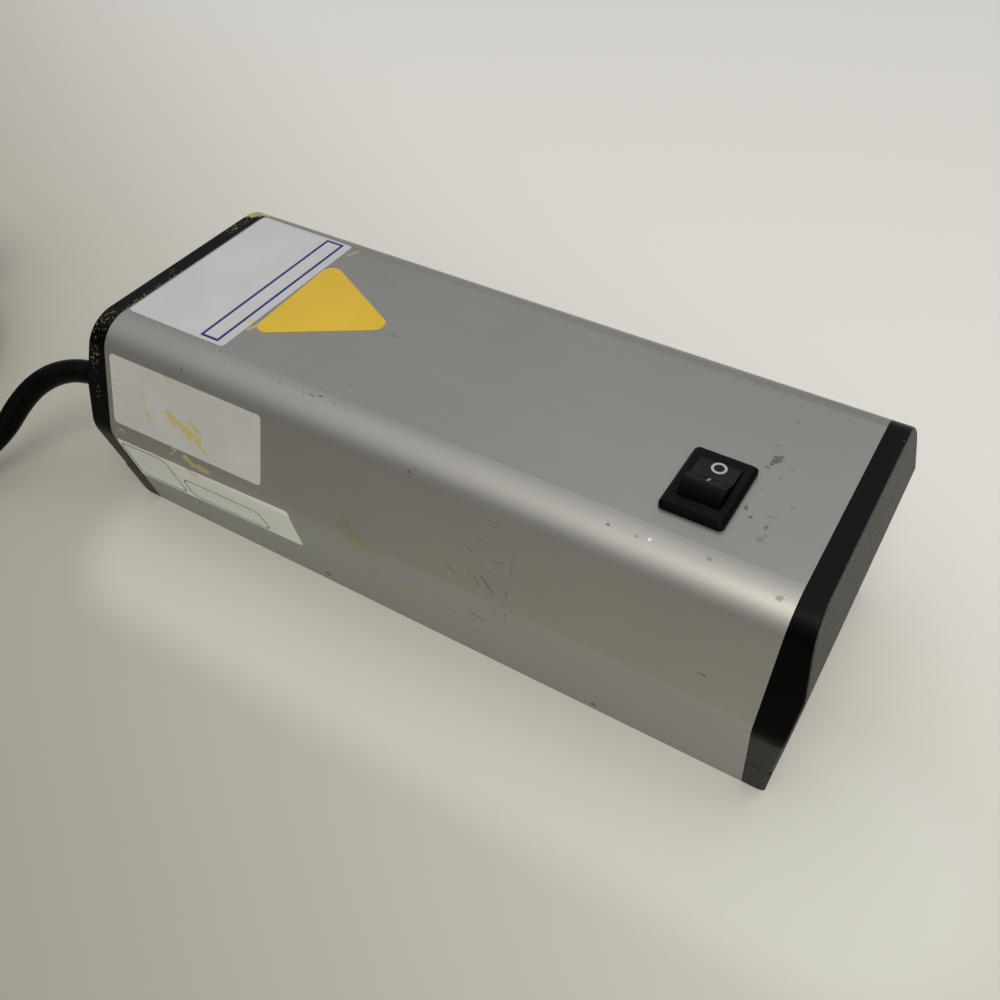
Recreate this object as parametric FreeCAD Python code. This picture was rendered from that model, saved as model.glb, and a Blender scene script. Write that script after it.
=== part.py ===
import FreeCAD, Part
import math
import os
from FreeCAD import Vector

# Hand-held ultraviolet lamp, mains powered, lying on its filter window.
# Frame: +X towards the switch end, -Y the side with the stickers, +Z up,
# origin at the bottom centre of the housing. All sizes are in millimetres.

# Housing extrusion
BODY_LENGTH = 187.0
BODY_HEIGHT = 62.5
TOP_HALF_WIDTH = 34.7
RIDGE_HALF_WIDTH = 43.4
RIDGE_HEIGHT = 32.2
BOTTOM_HALF_WIDTH = 35.5
CORNER_RADIUS = 10.0
RIDGE_RADIUS = 9.0
HOUSING_WALL = 2.0
LIP_REACH = 3.2
LIP_THICKNESS = 1.4
RIB_REACH = 3.4
RIB_THICKNESS = 1.3
SCREW_PORT_HEIGHT = 22.0
SCREW_PORT_RADIUS = 3.7
SCREW_PORT_BORE = 1.75
SCREW_PORT_SLIT = 1.6

# End caps
CAP_TOP_REACH = 5.3
CAP_RIDGE_REACH = 8.2
CAP_FOOT_REACH = 6.3
CAP_RIDGE_HEIGHT = 44.0
CAP_WALL = 3.0
CAP_EDGE_ROUND = 1.0
CAP_RIDGE_ROUND = 3.0
CAP_SPIGOT_DEPTH = 7.0
CAP_SPIGOT_WALL = 1.8
CAP_SPIGOT_FOOT = 34.5
CAP_SCREW_LENGTH = 16.0
CAP_SCREW_RADIUS = 1.7
CAP_SCREW_HEAD_RADIUS = 3.3
CAP_SCREW_HEAD_HEIGHT = 2.2
CAP_SCREW_SINK = 2.6
CAP_BOSS_LENGTH = 12.0
CAP_BOSS_WIDTH = 9.0
CAP_BOSS_HEIGHT = 10.0

# Filter frame and filter
FRAME_HEIGHT = 13.6
FRAME_PLATE = 2.4
FRAME_RIM = 2.0
FRAME_END_TOP_REACH = 6.2
FRAME_END_FOOT_REACH = 5.5
FRAME_END_ROUND = 2.2
FRAME_SCREW_INSET = 6.5
FRAME_SCREW_SPREAD = 24.0
FRAME_SCREW_RADIUS = 1.4
FRAME_SCREW_HEAD_RADIUS = 2.9
FRAME_SCREW_LENGTH = 11.0
FILTER_LENGTH = 150.0
FILTER_WIDTH = 50.0
FILTER_THICKNESS = 4.0
FILTER_LEDGE = 3.5
FILTER_CURB = 1.6
GASKET_THICKNESS = 0.6
GASKET_WIDTH = 3.0
CLIP_THICKNESS = 0.6
CLIP_WIDTH = 9.0
CLIP_RIVET_RADIUS = 1.8

# Lamp tube, size T5, 4 W, on G5 pins
TUBE_RADIUS = 8.0
TUBE_GLASS_WALL = 0.8
TUBE_GLASS_END = 4.0
TUBE_FACE_LENGTH = 135.9
TUBE_CAP_LENGTH = 9.5
TUBE_AXIS_HEIGHT = 17.5
PIN_LENGTH = 7.1
PIN_RADIUS = 1.18
PIN_SPREAD = 2.375
HOLDER_THICKNESS = 9.0
HOLDER_WIDTH = 20.0
HOLDER_DROP = 10.0
HOLDER_SCREW_INSET = 3.0
HOLDER_SCREW_LENGTH = 5.0
HOLDER_GROOVE_INNER = 0.9
HOLDER_GROOVE_OUTER = 3.8
HOLDER_GROOVE_DEPTH = 7.5

# Reflector and chassis
REFLECTOR_THICKNESS = 0.7
REFLECTOR_CROWN_HALF_WIDTH = 10.0
REFLECTOR_MOUTH_HALF_WIDTH = 27.5
REFLECTOR_SHOULDER_HALF_WIDTH = 20.0
REFLECTOR_SHOULDER_DROP = 4.5
REFLECTOR_FOOT_HEIGHT = 11.0
CHASSIS_BOTTOM = 29.5
CHASSIS_THICKNESS = 1.2
CHASSIS_LENGTH = 169.0
RIVET_RADIUS = 1.5
RIVET_HEAD_RADIUS = 2.8
RIVET_HEAD_HEIGHT = 0.9
RIVET_CLEARANCE = 12.0

# Ballast choke, starter and terminal block
BALLAST_X = 8.0
CORE_LENGTH = 52.0
CORE_WIDTH = 38.0
CORE_HEIGHT = 24.0
COIL_OVERHANG = 7.0
COIL_WIDTH = 26.0
COIL_HEIGHT = 19.0
BRACKET_THICKNESS = 1.0
BRACKET_WIDTH = 30.0
BRACKET_FOOT = 9.8
BRACKET_SCREW_INSET = 4.5
STARTER_Y = 16.0
STARTER_RADIUS = 10.7
STARTER_LENGTH = 34.0
STARTER_FACE_X = -50.0
STARTER_PIN_SPREAD = 6.35
STARTER_PIN_RADIUS = 1.6
STARTER_HEAD_RADIUS = 2.3
SOCKET_THICKNESS = 11.0
SOCKET_WIDTH = 25.0
BLOCK_X = -60.0
BLOCK_MARGIN = 18.4
BLOCK_POLE = 8.0
BLOCK_DEPTH = 17.0
BLOCK_HEIGHT = 13.0
BLOCK_STEP = 2.0
BLOCK_GAP = 0.6
BLOCK_BORE_RADIUS = 1.8
BLOCK_BORE_HEIGHT = 5.0
BLOCK_SCREW_RADIUS = 1.6
BLOCK_SCREW_OFFSET = 3.4

# Rocker switch
SWITCH_X = 66.5
SWITCH_Y = -11.8
BEZEL_LENGTH = 21.0
BEZEL_WIDTH = 15.0
BEZEL_HEIGHT = 2.0
BEZEL_BEVEL = 0.9
BEZEL_CORNER = 1.3
SWITCH_BODY_LENGTH = 18.6
SWITCH_BODY_WIDTH = 12.6
SWITCH_BODY_DEPTH = 15.0
SWITCH_WALL = 1.3
PANEL_CLEARANCE = 0.2
ROCKER_RADIUS = 7.1
ROCKER_WIDTH = 9.6
ROCKER_GAP = 0.2
ROCKER_PIVOT_DROP = 2.9
ROCKER_HALF_SPAN = 44.3
ROCKER_VEE = 15.0
ROCKER_TILT = 15.0
ROCKER_PIN_RADIUS = 1.4
ROCKER_PIN_CLEARANCE = 0.05
PLUNGER_RADIUS = 1.1
PLUNGER_TIP_DROP = 7.0
BLADE_DROP = 7.4
BLADE_THICKNESS = 0.5
BLADE_TILT = 8.0
BLADE_HALF_LENGTH = 6.3
BLADE_WIDTH = 4.0
TERMINAL_WIDTH = 4.8
TERMINAL_THICKNESS = 0.8
TERMINAL_LENGTH = 8.0

# Mains cord, put-away coil and plug
CORD_RADIUS = 3.5
CORE_RADIUS = 1.0
SHEATH_REACH = 7.0
LEAD_RADIUS = 0.9
LEAD_LANE = 4.0
LEAD_SPACING = 2.6
LEAD_DROP = 4.5
LEAD_TURN = 9.0
LEAD_RUN_IN = 24.0
LEAD_ENTRY = 12.0
CORD_MARGIN = 15.4
CORD_Z = 34.5
RELIEF_FLANGE_RADIUS = 7.6
RELIEF_FLANGE_THICKNESS = 2.0
RELIEF_NECK_RADIUS = 6.0
RELIEF_ROOT_RADIUS = 5.8
RELIEF_TIP_RADIUS = 4.4
RELIEF_LENGTH = 10.0
RELIEF_GROOVES = 2
COIL_CENTRE = (-228.0, -48.0)
COIL_MEAN_RADIUS = 35.5
COIL_BAND = 21.5
COIL_BAND_HEIGHT = 19.8
TIE_THICKNESS = 1.0
TIE_WIDTH = 14.0
PLUG_LENGTH = 52.0
PLUG_WIDTH = 50.0
PLUG_COVER_HEIGHT = 15.0
PLUG_BASE_HEIGHT = 6.0
PLUG_WALL = 2.2
PLUG_SLEEVE_TIP_RADIUS = 5.1
PLUG_SLEEVE_ROOT_RADIUS = 5.9
PLUG_CORD_HEIGHT = 9.0
PLUG_HEADING = 90.0
PLUG_BOOT_LENGTH = 20.0
PLUG_PIN_OFFSET = 11.1
PLUG_EARTH_PIN_LENGTH = 22.7
PLUG_LIVE_PIN_LENGTH = 17.7

# Running and seating clearances
SEAT = 0.2
FINE = 0.1

HALF = BODY_LENGTH / 2
BRACKET_REACH = CORE_LENGTH / 2 + COIL_OVERHANG + SEAT
BRACKET_LENGTH = 2 * (BRACKET_REACH + BRACKET_THICKNESS + BRACKET_FOOT)
RIVET_SPACING = BRACKET_LENGTH + 2 * RIVET_CLEARANCE
BLOCK_Y = BLOCK_MARGIN - RIDGE_HALF_WIDTH
CORD_Y = CORD_MARGIN - RIDGE_HALF_WIDTH
LOW_SLOPE = (RIDGE_HALF_WIDTH - BOTTOM_HALF_WIDTH) / RIDGE_HEIGHT
HIGH_SLOPE = (TOP_HALF_WIDTH - RIDGE_HALF_WIDTH) / (BODY_HEIGHT - RIDGE_HEIGHT)
CHASSIS_TOP = CHASSIS_BOTTOM + CHASSIS_THICKNESS
CAP_FOOT = FRAME_HEIGHT + SEAT
BEZEL_TOP = BODY_HEIGHT + BEZEL_HEIGHT
PIVOT = Vector(SWITCH_X, SWITCH_Y, BEZEL_TOP - ROCKER_PIVOT_DROP)
X_AXIS = Vector(1, 0, 0)
Y_AXIS = Vector(0, 1, 0)
Z_AXIS = Vector(0, 0, 1)


def box(x0, x1, y0, y1, z0, z1):
    corner = Vector(min(x0, x1), min(y0, y1), min(z0, z1))
    return Part.makeBox(abs(x1 - x0), abs(y1 - y0), abs(z1 - z0), corner)


def rod(radius, start, direction, length):
    return Part.makeCylinder(radius, length, start, direction)


def rounded_wire(points, radii, place):
    """Closed outline through 2-D points, each corner rounded by its radius."""
    starts, ends, arcs = [], [], []
    count = len(points)
    for i in range(count):
        here = Vector(*points[i], 0)
        to_last = (Vector(*points[i - 1], 0) - here).normalize()
        to_next = (Vector(*points[(i + 1) % count], 0) - here).normalize()
        if radii[i] <= 0:
            starts.append(here)
            ends.append(here)
            arcs.append(None)
            continue
        half = to_last.getAngle(to_next) / 2
        reach = radii[i] / math.tan(half)
        centre = here + (to_last + to_next).normalize() * (radii[i] / math.sin(half))
        starts.append(here + to_last * reach)
        ends.append(here + to_next * reach)
        arcs.append(centre + (here - centre).normalize() * radii[i])
    edges = []
    for i in range(count):
        if arcs[i] is not None:
            three = [place(p.x, p.y) for p in (starts[i], arcs[i], ends[i])]
            edges.append(Part.Arc(*three).toShape())
        after = starts[(i + 1) % count]
        if (after - ends[i]).Length > 1e-6:
            edges.append(Part.LineSegment(place(ends[i].x, ends[i].y), place(after.x, after.y)).toShape())
    return Part.Wire(edges)


def prism(points, radii, axis, low, high):
    """Solid with the given outline in the plane across axis, from low to high."""
    if isinstance(radii, (int, float)):
        radii = [radii] * len(points)
    places = {
        "x": lambda u, v: Vector(low, u, v),
        "y": lambda u, v: Vector(u, low, v),
        "z": lambda u, v: Vector(u, v, low),
    }
    ways = {"x": X_AXIS, "y": Y_AXIS, "z": Z_AXIS}
    return Part.Face(rounded_wire(points, radii, places[axis])).extrude(ways[axis] * (high - low))


def rectangle(u0, u1, v0, v1):
    return [(u0, v0), (u1, v0), (u1, v1), (u0, v1)]


def turned(points, place_point, axis):
    """Solid of revolution of a closed (radius, height) outline about a line."""
    side = Y_AXIS if abs(axis.y) < 0.5 else X_AXIS
    wire = Part.makePolygon([place_point + side * r + axis * h for r, h in points + points[:1]])
    return Part.Face(wire).revolve(place_point, axis, 360)


def mirrored_x(shape):
    return shape.mirror(Vector(0, 0, 0), X_AXIS)


def mirrored_y(shape):
    return shape.mirror(Vector(0, 0, 0), Y_AXIS)


def side_at(z, inset):
    """Half width of the housing section at a height, a distance in from its skin."""
    low = BOTTOM_HALF_WIDTH + LOW_SLOPE * z - inset * math.hypot(1, LOW_SLOPE)
    high = RIDGE_HALF_WIDTH + HIGH_SLOPE * (z - RIDGE_HEIGHT) - inset * math.hypot(1, HIGH_SLOPE)
    return min(low, high)


def section(inset, floor):
    """Outline and corner radii of the housing section, inset from its skin."""
    low_gap = inset * math.hypot(1, LOW_SLOPE)
    high_gap = inset * math.hypot(1, HIGH_SLOPE)
    ridge = RIDGE_HEIGHT + (low_gap - high_gap) / (LOW_SLOPE - HIGH_SLOPE)
    top = BODY_HEIGHT - inset
    right = [(side_at(floor, inset), floor, 0)]
    if floor < ridge:
        right.append((side_at(ridge, inset), ridge, RIDGE_RADIUS - inset))
    right.append((side_at(top, inset), top, CORNER_RADIUS - inset))
    points = [(y, z) for y, z, r in right] + [(-y, z) for y, z, r in reversed(right)]
    radii = [r for y, z, r in right] + [r for y, z, r in reversed(right)]
    return points, radii


def bar(inset, floor, low, high):
    points, radii = section(inset, floor)
    return prism(points, radii, "x", low, high)


def screw_port_y():
    return side_at(SCREW_PORT_HEIGHT, HOUSING_WALL) - SCREW_PORT_RADIUS + 0.4


def housing():
    """Extrusion open at the bottom, with frame lips, chassis ribs and screw ports."""
    outer = bar(0, 0, -HALF, HALF)
    shell = outer.cut(bar(HOUSING_WALL, -1, -HALF - 1, HALF + 1))
    inside = bar(HOUSING_WALL / 2, 0, -HALF, HALF)
    ribs = []
    bores = []
    lip = FRAME_HEIGHT + SEAT
    groove_foot = CHASSIS_BOTTOM - FINE
    groove_head = CHASSIS_TOP + SEAT
    port_y = screw_port_y()
    for side in (-1, 1):
        reaches = (
            (lip, lip + LIP_THICKNESS, LIP_REACH),
            (groove_foot - RIB_THICKNESS, groove_foot, RIB_REACH),
            (groove_head, groove_head + RIB_THICKNESS, RIB_REACH),
        )
        for foot, head, reach in reaches:
            edge = side_at(foot, HOUSING_WALL) - reach
            ribs.append(box(-HALF, HALF, side * edge, side * RIDGE_HALF_WIDTH, foot, head).common(inside))
        start = Vector(-HALF, side * port_y, SCREW_PORT_HEIGHT)
        ribs.append(rod(SCREW_PORT_RADIUS, start, X_AXIS, BODY_LENGTH).common(inside))
        bores.append(rod(SCREW_PORT_BORE, start, X_AXIS, BODY_LENGTH))
        half_slit = SCREW_PORT_SLIT / 2
        inner = port_y - SCREW_PORT_RADIUS - 1
        bores.append(box(-HALF, HALF, side * inner, side * port_y,
                         SCREW_PORT_HEIGHT - half_slit, SCREW_PORT_HEIGHT + half_slit))
    half_x = SWITCH_BODY_WIDTH / 2 + PANEL_CLEARANCE
    half_y = SWITCH_BODY_LENGTH / 2 + PANEL_CLEARANCE
    bores.append(box(SWITCH_X - half_x, SWITCH_X + half_x, SWITCH_Y - half_y, SWITCH_Y + half_y,
                     BODY_HEIGHT - HOUSING_WALL - 1, BODY_HEIGHT + 1))
    return shell.fuse(ribs).cut(bores).removeSplitter()


def cap_outline(inset, foot):
    """Side view of an end cap outside the housing, set in from its skin."""
    run = CAP_RIDGE_HEIGHT - CAP_FOOT
    foot_reach = CAP_RIDGE_REACH + (CAP_FOOT_REACH - CAP_RIDGE_REACH) * (CAP_RIDGE_HEIGHT - foot) / run
    return [
        (HALF, foot),
        (HALF + foot_reach - inset, foot),
        (HALF + CAP_RIDGE_REACH - inset, CAP_RIDGE_HEIGHT),
        (HALF + CAP_TOP_REACH - inset, BODY_HEIGHT),
        (HALF, BODY_HEIGHT),
    ]


def cap_skin():
    """Outside form of an end cap: the housing section cut by two slanted end facets."""
    form = bar(0, CAP_FOOT, HALF, HALF + 3 * CAP_RIDGE_REACH)
    facets = prism(cap_outline(0, CAP_FOOT), [0, 0, CAP_RIDGE_ROUND, 0, 0], "y",
                   -2 * RIDGE_HALF_WIDTH, 2 * RIDGE_HALF_WIDTH)
    skin = form.common(facets).removeSplitter()
    rims = [e for e in skin.Edges if e.BoundBox.XMin > HALF + 1 and e.BoundBox.ZMax > CAP_FOOT + 0.5
            and not (e.BoundBox.ZLength < 0.01 and e.BoundBox.ZMax < BODY_HEIGHT - 0.5)]
    return skin.makeFillet(min(CAP_EDGE_ROUND, CAP_TOP_REACH / 3), rims)


def end_cap(skin):
    """Moulded cap with a hollow back, a locating spigot and screw bosses."""
    hollow = bar(CAP_WALL, CAP_FOOT + CAP_WALL, HALF - 1, HALF + 2 * CAP_RIDGE_REACH)
    pocket = prism(cap_outline(CAP_WALL, CAP_FOOT), 0, "y", -RIDGE_HALF_WIDTH, RIDGE_HALF_WIDTH)
    fit = HOUSING_WALL + SEAT
    spigot = bar(fit, CAP_SPIGOT_FOOT, HALF - CAP_SPIGOT_DEPTH, HALF + 1)
    spigot = spigot.cut(bar(fit + CAP_SPIGOT_WALL, CAP_SPIGOT_FOOT - 1, HALF - CAP_SPIGOT_DEPTH - 1, HALF + 2))
    added = [spigot]
    bores = []
    port_y = screw_port_y()
    seat = HALF + CAP_SCREW_SINK
    for side in (-1, 1):
        start = Vector(HALF, side * port_y, SCREW_PORT_HEIGHT)
        added.append(rod(SCREW_PORT_RADIUS + 1, start, X_AXIS, 2 * CAP_RIDGE_REACH).common(skin))
        bores.append(rod(CAP_SCREW_RADIUS + SEAT, start - X_AXIS, X_AXIS, 2 * CAP_RIDGE_REACH))
        bores.append(rod(CAP_SCREW_HEAD_RADIUS + SEAT, Vector(seat, start.y, start.z), X_AXIS,
                         2 * CAP_RIDGE_REACH))
        y0 = side * (FRAME_SCREW_SPREAD - CAP_BOSS_WIDTH / 2)
        y1 = side * (FRAME_SCREW_SPREAD + CAP_BOSS_WIDTH / 2)
        added.append(box(HALF - CAP_BOSS_LENGTH, HALF + CAP_FOOT_REACH - CAP_WALL, y0, y1,
                         CAP_FOOT, CAP_FOOT + CAP_BOSS_HEIGHT))
        foot = Vector(HALF - FRAME_SCREW_INSET, side * FRAME_SCREW_SPREAD, CAP_FOOT - 1)
        bores.append(rod(FRAME_SCREW_RADIUS + FINE, foot, Z_AXIS, CAP_BOSS_HEIGHT - 1))
    return skin.cut(hollow.common(pocket)).fuse(added).cut(bores).removeSplitter()


def relief_seat_x():
    """Outer seat of the strain relief on the cord end cap, as a distance from the middle."""
    drop = (CAP_RIDGE_HEIGHT - CORD_Z + RELIEF_FLANGE_RADIUS) / (CAP_RIDGE_HEIGHT - CAP_FOOT)
    return HALF + CAP_RIDGE_REACH + (CAP_FOOT_REACH - CAP_RIDGE_REACH) * drop - 0.2


def cord_end_cap(skin):
    """End cap at the cord end, with the seat and hole of the strain relief."""
    plain = end_cap(skin)
    start = Vector(HALF, CORD_Y, CORD_Z)
    boss = rod(RELIEF_NECK_RADIUS + CAP_WALL, start, X_AXIS, 2 * CAP_RIDGE_REACH).common(skin)
    bore = rod(RELIEF_NECK_RADIUS + FINE, start - X_AXIS, X_AXIS, 3 * CAP_RIDGE_REACH)
    seat = rod(RELIEF_FLANGE_RADIUS + FINE, Vector(relief_seat_x(), CORD_Y, CORD_Z), X_AXIS, CAP_RIDGE_REACH)
    return mirrored_x(plain.fuse(boss).cut([bore, seat]).removeSplitter())


def cap_screws():
    """Pan-head screws through both end caps into the housing's screw ports."""
    screws = []
    for end in (-1, 1):
        for side in (-1, 1):
            seat = Vector(end * (HALF + CAP_SCREW_SINK), side * screw_port_y(), SCREW_PORT_HEIGHT)
            out = X_AXIS * end
            head = rod(CAP_SCREW_HEAD_RADIUS, seat, out, CAP_SCREW_HEAD_HEIGHT)
            head = head.makeFillet(0.8, [e for e in head.Edges if abs(e.BoundBox.Center.x) >
                                         HALF + CAP_SCREW_SINK + 1 and e.BoundBox.XLength < 0.01])
            shank = rod(SCREW_PORT_BORE - 0.05, seat, out * -1, CAP_SCREW_LENGTH)
            slot_at = seat + out * CAP_SCREW_HEAD_HEIGHT
            slot = box(slot_at.x - 0.8, slot_at.x + 0.8, slot_at.y - 0.4, slot_at.y + 0.4,
                       slot_at.z - 2.2, slot_at.z + 2.2)
            slot = slot.fuse(box(slot_at.x - 0.8, slot_at.x + 0.8, slot_at.y - 2.2, slot_at.y + 2.2,
                                 slot_at.z - 0.4, slot_at.z + 0.4))
            screws.append(head.fuse(shank).cut(slot).removeSplitter())
    return Part.makeCompound(screws)


def filter_frame():
    """Frame that closes the bottom, with a window, a glass seat and solid end blocks."""
    wide = side_at(0, HOUSING_WALL) - SEAT
    long = HALF + 1
    plate = box(-long, long, -wide, wide, 0, FRAME_PLATE)
    rim = box(-long, long, -wide, wide, 0, FRAME_HEIGHT)
    rim = rim.cut(box(-long - 1, long + 1, -wide + FRAME_RIM, wide - FRAME_RIM, -1, FRAME_HEIGHT + 1))
    glass_x = FILTER_LENGTH / 2 + SEAT
    glass_y = FILTER_WIDTH / 2 + SEAT
    curb_top = FRAME_PLATE + GASKET_THICKNESS + FILTER_THICKNESS - 0.4
    curb = box(-glass_x - FILTER_CURB, glass_x + FILTER_CURB, -glass_y - FILTER_CURB, glass_y + FILTER_CURB,
               0, curb_top)
    curb = curb.cut(box(-glass_x, glass_x, -glass_y, glass_y, -1, curb_top + 1))
    parts = [rim, curb]
    outline = [
        (HALF + SEAT, 0),
        (HALF + FRAME_END_FOOT_REACH, 0),
        (HALF + FRAME_END_TOP_REACH, FRAME_HEIGHT),
        (HALF + SEAT, FRAME_HEIGHT),
    ]
    block = prism(outline, [0, FRAME_END_ROUND, 0, 0], "y", -RIDGE_HALF_WIDTH, RIDGE_HALF_WIDTH)
    block = block.common(bar(0, 0, HALF, HALF + 2 * CAP_RIDGE_REACH))
    inner = box(HALF - 1, HALF + FRAME_END_FOOT_REACH - 2 * FRAME_RIM, -wide + FRAME_RIM, wide - FRAME_RIM,
                FRAME_PLATE, FRAME_HEIGHT + 1)
    parts += [block.cut(inner), mirrored_x(block.cut(inner))]
    bores = []
    window_x = FILTER_LENGTH / 2 - FILTER_LEDGE
    window_y = FILTER_WIDTH / 2 - FILTER_LEDGE
    bores.append(prism(rectangle(-window_x, window_x, -window_y, window_y), 3, "z", -1, FRAME_HEIGHT))
    for end in (-1, 1):
        for side in (-1, 1):
            x = end * (HALF - FRAME_SCREW_INSET)
            y = side * FRAME_SCREW_SPREAD
            parts.append(rod(FRAME_SCREW_HEAD_RADIUS + 1.2, Vector(x, y, 0), Z_AXIS, FRAME_HEIGHT))
            bores.append(rod(FRAME_SCREW_RADIUS + SEAT, Vector(x, y, -1), Z_AXIS, FRAME_HEIGHT + 2))
            bores.append(Part.makeCone(FRAME_SCREW_HEAD_RADIUS + SEAT, FRAME_SCREW_RADIUS + SEAT,
                                       FRAME_SCREW_HEAD_RADIUS - FRAME_SCREW_RADIUS, Vector(x, y, 0), Z_AXIS))
    return plate.fuse(parts).cut(bores).removeSplitter()


def frame_screws():
    """Countersunk screws up through the frame into the end cap bosses."""
    screws = []
    for end in (-1, 1):
        for side in (-1, 1):
            at = Vector(end * (HALF - FRAME_SCREW_INSET), side * FRAME_SCREW_SPREAD, SEAT)
            sink = FRAME_SCREW_HEAD_RADIUS - FRAME_SCREW_RADIUS
            head = Part.makeCone(FRAME_SCREW_HEAD_RADIUS, FRAME_SCREW_RADIUS, sink, at, Z_AXIS)
            shank = rod(FRAME_SCREW_RADIUS, at, Z_AXIS, FRAME_HEIGHT + CAP_BOSS_HEIGHT - 4)
            slot = box(at.x - 2, at.x + 2, at.y - 0.4, at.y + 0.4, 0, at.z + 0.7)
            screws.append(head.fuse(shank).cut(slot).removeSplitter())
    return Part.makeCompound(screws)


def filter_gasket():
    """Flat foam strip between the frame's ledge and the filter glass."""
    outer_x = FILTER_LENGTH / 2
    outer_y = FILTER_WIDTH / 2
    ring = box(-outer_x, outer_x, -outer_y, outer_y, FRAME_PLATE, FRAME_PLATE + GASKET_THICKNESS)
    inner_x = outer_x - GASKET_WIDTH
    inner_y = outer_y - GASKET_WIDTH
    return ring.cut(box(-inner_x, inner_x, -inner_y, inner_y, 0, FRAME_HEIGHT))


def filter_glass():
    """Dark band-pass filter glass on its gasket."""
    foot = FRAME_PLATE + GASKET_THICKNESS
    plate = prism(rectangle(-FILTER_LENGTH / 2, FILTER_LENGTH / 2, -FILTER_WIDTH / 2, FILTER_WIDTH / 2),
                  1.0, "z", foot, foot + FILTER_THICKNESS)
    flat = [e for e in plate.Edges if e.BoundBox.ZLength < 0.01]
    return plate.makeChamfer(0.4, flat)


def filter_clips():
    """Spring strips, screwed to the frame, that hold the glass down at both ends."""
    top = FRAME_PLATE + GASKET_THICKNESS + FILTER_THICKNESS
    tip = FILTER_LENGTH / 2 - 4
    bend = FILTER_LENGTH / 2 + FILTER_CURB + 2 * SEAT
    heel = bend + 6
    profile = [
        (tip, top),
        (bend, top),
        (bend, FRAME_PLATE),
        (heel, FRAME_PLATE),
        (heel, FRAME_PLATE + CLIP_THICKNESS),
        (bend + CLIP_THICKNESS, FRAME_PLATE + CLIP_THICKNESS),
        (bend + CLIP_THICKNESS, top + CLIP_THICKNESS),
        (tip, top + CLIP_THICKNESS),
    ]
    clips = []
    for side in (-1, 1):
        middle = side * FILTER_WIDTH / 4
        clip = prism(profile, 0, "y", middle - CLIP_WIDTH / 2, middle + CLIP_WIDTH / 2)
        rivet = Vector((bend + heel) / 2 + CLIP_THICKNESS / 2, middle, FRAME_PLATE)
        clip = clip.fuse(rod(CLIP_RIVET_RADIUS, rivet, Z_AXIS, 2.5 * CLIP_THICKNESS)).removeSplitter()
        clips += [clip, mirrored_x(clip)]
    return Part.makeCompound(clips)


def reflector():
    """Bent bright sheet: a crown under the chassis and two stepped sides."""
    shoulder = CHASSIS_BOTTOM - REFLECTOR_SHOULDER_DROP
    outer = [
        (REFLECTOR_CROWN_HALF_WIDTH, CHASSIS_BOTTOM),
        (REFLECTOR_SHOULDER_HALF_WIDTH, shoulder),
        (REFLECTOR_MOUTH_HALF_WIDTH, REFLECTOR_FOOT_HEIGHT),
    ]
    inner = [
        (REFLECTOR_CROWN_HALF_WIDTH - 0.3 * REFLECTOR_THICKNESS, CHASSIS_BOTTOM - REFLECTOR_THICKNESS),
        (REFLECTOR_SHOULDER_HALF_WIDTH - 0.8 * REFLECTOR_THICKNESS, shoulder - 0.7 * REFLECTOR_THICKNESS),
        (REFLECTOR_MOUTH_HALF_WIDTH - 1.1 * REFLECTOR_THICKNESS, REFLECTOR_FOOT_HEIGHT),
    ]
    points = [(-y, z) for y, z in reversed(outer)] + outer + list(reversed(inner)) + [(-y, z) for y, z in inner]
    length = TUBE_FACE_LENGTH - TUBE_GLASS_END
    return prism(points, 0, "x", -length / 2, length / 2).cut(rivet_holes())


def rivet_holes():
    holes = []
    for end in (-1, 1):
        at = Vector(end * RIVET_SPACING / 2, 0, CHASSIS_BOTTOM - 2)
        holes.append(rod(RIVET_RADIUS + FINE, at, Z_AXIS, 2 + CHASSIS_THICKNESS + 1))
    return holes


def reflector_rivets():
    """Rivets that hold the reflector's crown to the chassis."""
    rivets = []
    crown = CHASSIS_BOTTOM - REFLECTOR_THICKNESS
    for end in (-1, 1):
        at = Vector(end * RIVET_SPACING / 2, 0, crown)
        shank = rod(RIVET_RADIUS, at, Z_AXIS, CHASSIS_TOP - crown)
        lower = rod(RIVET_HEAD_RADIUS, at - Z_AXIS * RIVET_HEAD_HEIGHT, Z_AXIS, RIVET_HEAD_HEIGHT)
        upper = rod(RIVET_HEAD_RADIUS, Vector(at.x, 0, CHASSIS_TOP), Z_AXIS, RIVET_HEAD_HEIGHT)
        rivets.append(shank.fuse([lower, upper]).removeSplitter())
    return Part.makeCompound(rivets)


def tube_glass():
    """Hollow glass of the discharge tube, rounded at both ends."""
    length = TUBE_FACE_LENGTH - 4
    start = Vector(-length / 2, 0, TUBE_AXIS_HEIGHT)
    outer = rod(TUBE_RADIUS - 0.3, start, X_AXIS, length)
    outer = outer.makeFillet(3, [e for e in outer.Edges if e.BoundBox.XLength < 0.01])
    bore = rod(TUBE_RADIUS - 0.3 - TUBE_GLASS_WALL, start + X_AXIS * TUBE_GLASS_END,
               X_AXIS, length - 2 * TUBE_GLASS_END)
    return outer.cut(bore)


def tube_caps():
    """Aluminium end shells of the tube, each with an insulating disc face."""
    caps = []
    for end in (-1, 1):
        face = Vector(end * TUBE_FACE_LENGTH / 2, 0, TUBE_AXIS_HEIGHT)
        back = X_AXIS * -end
        shell = rod(TUBE_RADIUS, face, back, TUBE_CAP_LENGTH)
        shell = shell.makeFillet(1, [e for e in shell.Edges
                                     if abs(abs(e.BoundBox.Center.x) - abs(face.x)) < 0.01])
        hollow = rod(TUBE_RADIUS - 0.3, face + back * 2, back, TUBE_CAP_LENGTH)
        caps.append(shell.cut(hollow))
    return Part.makeCompound(caps)


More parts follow.
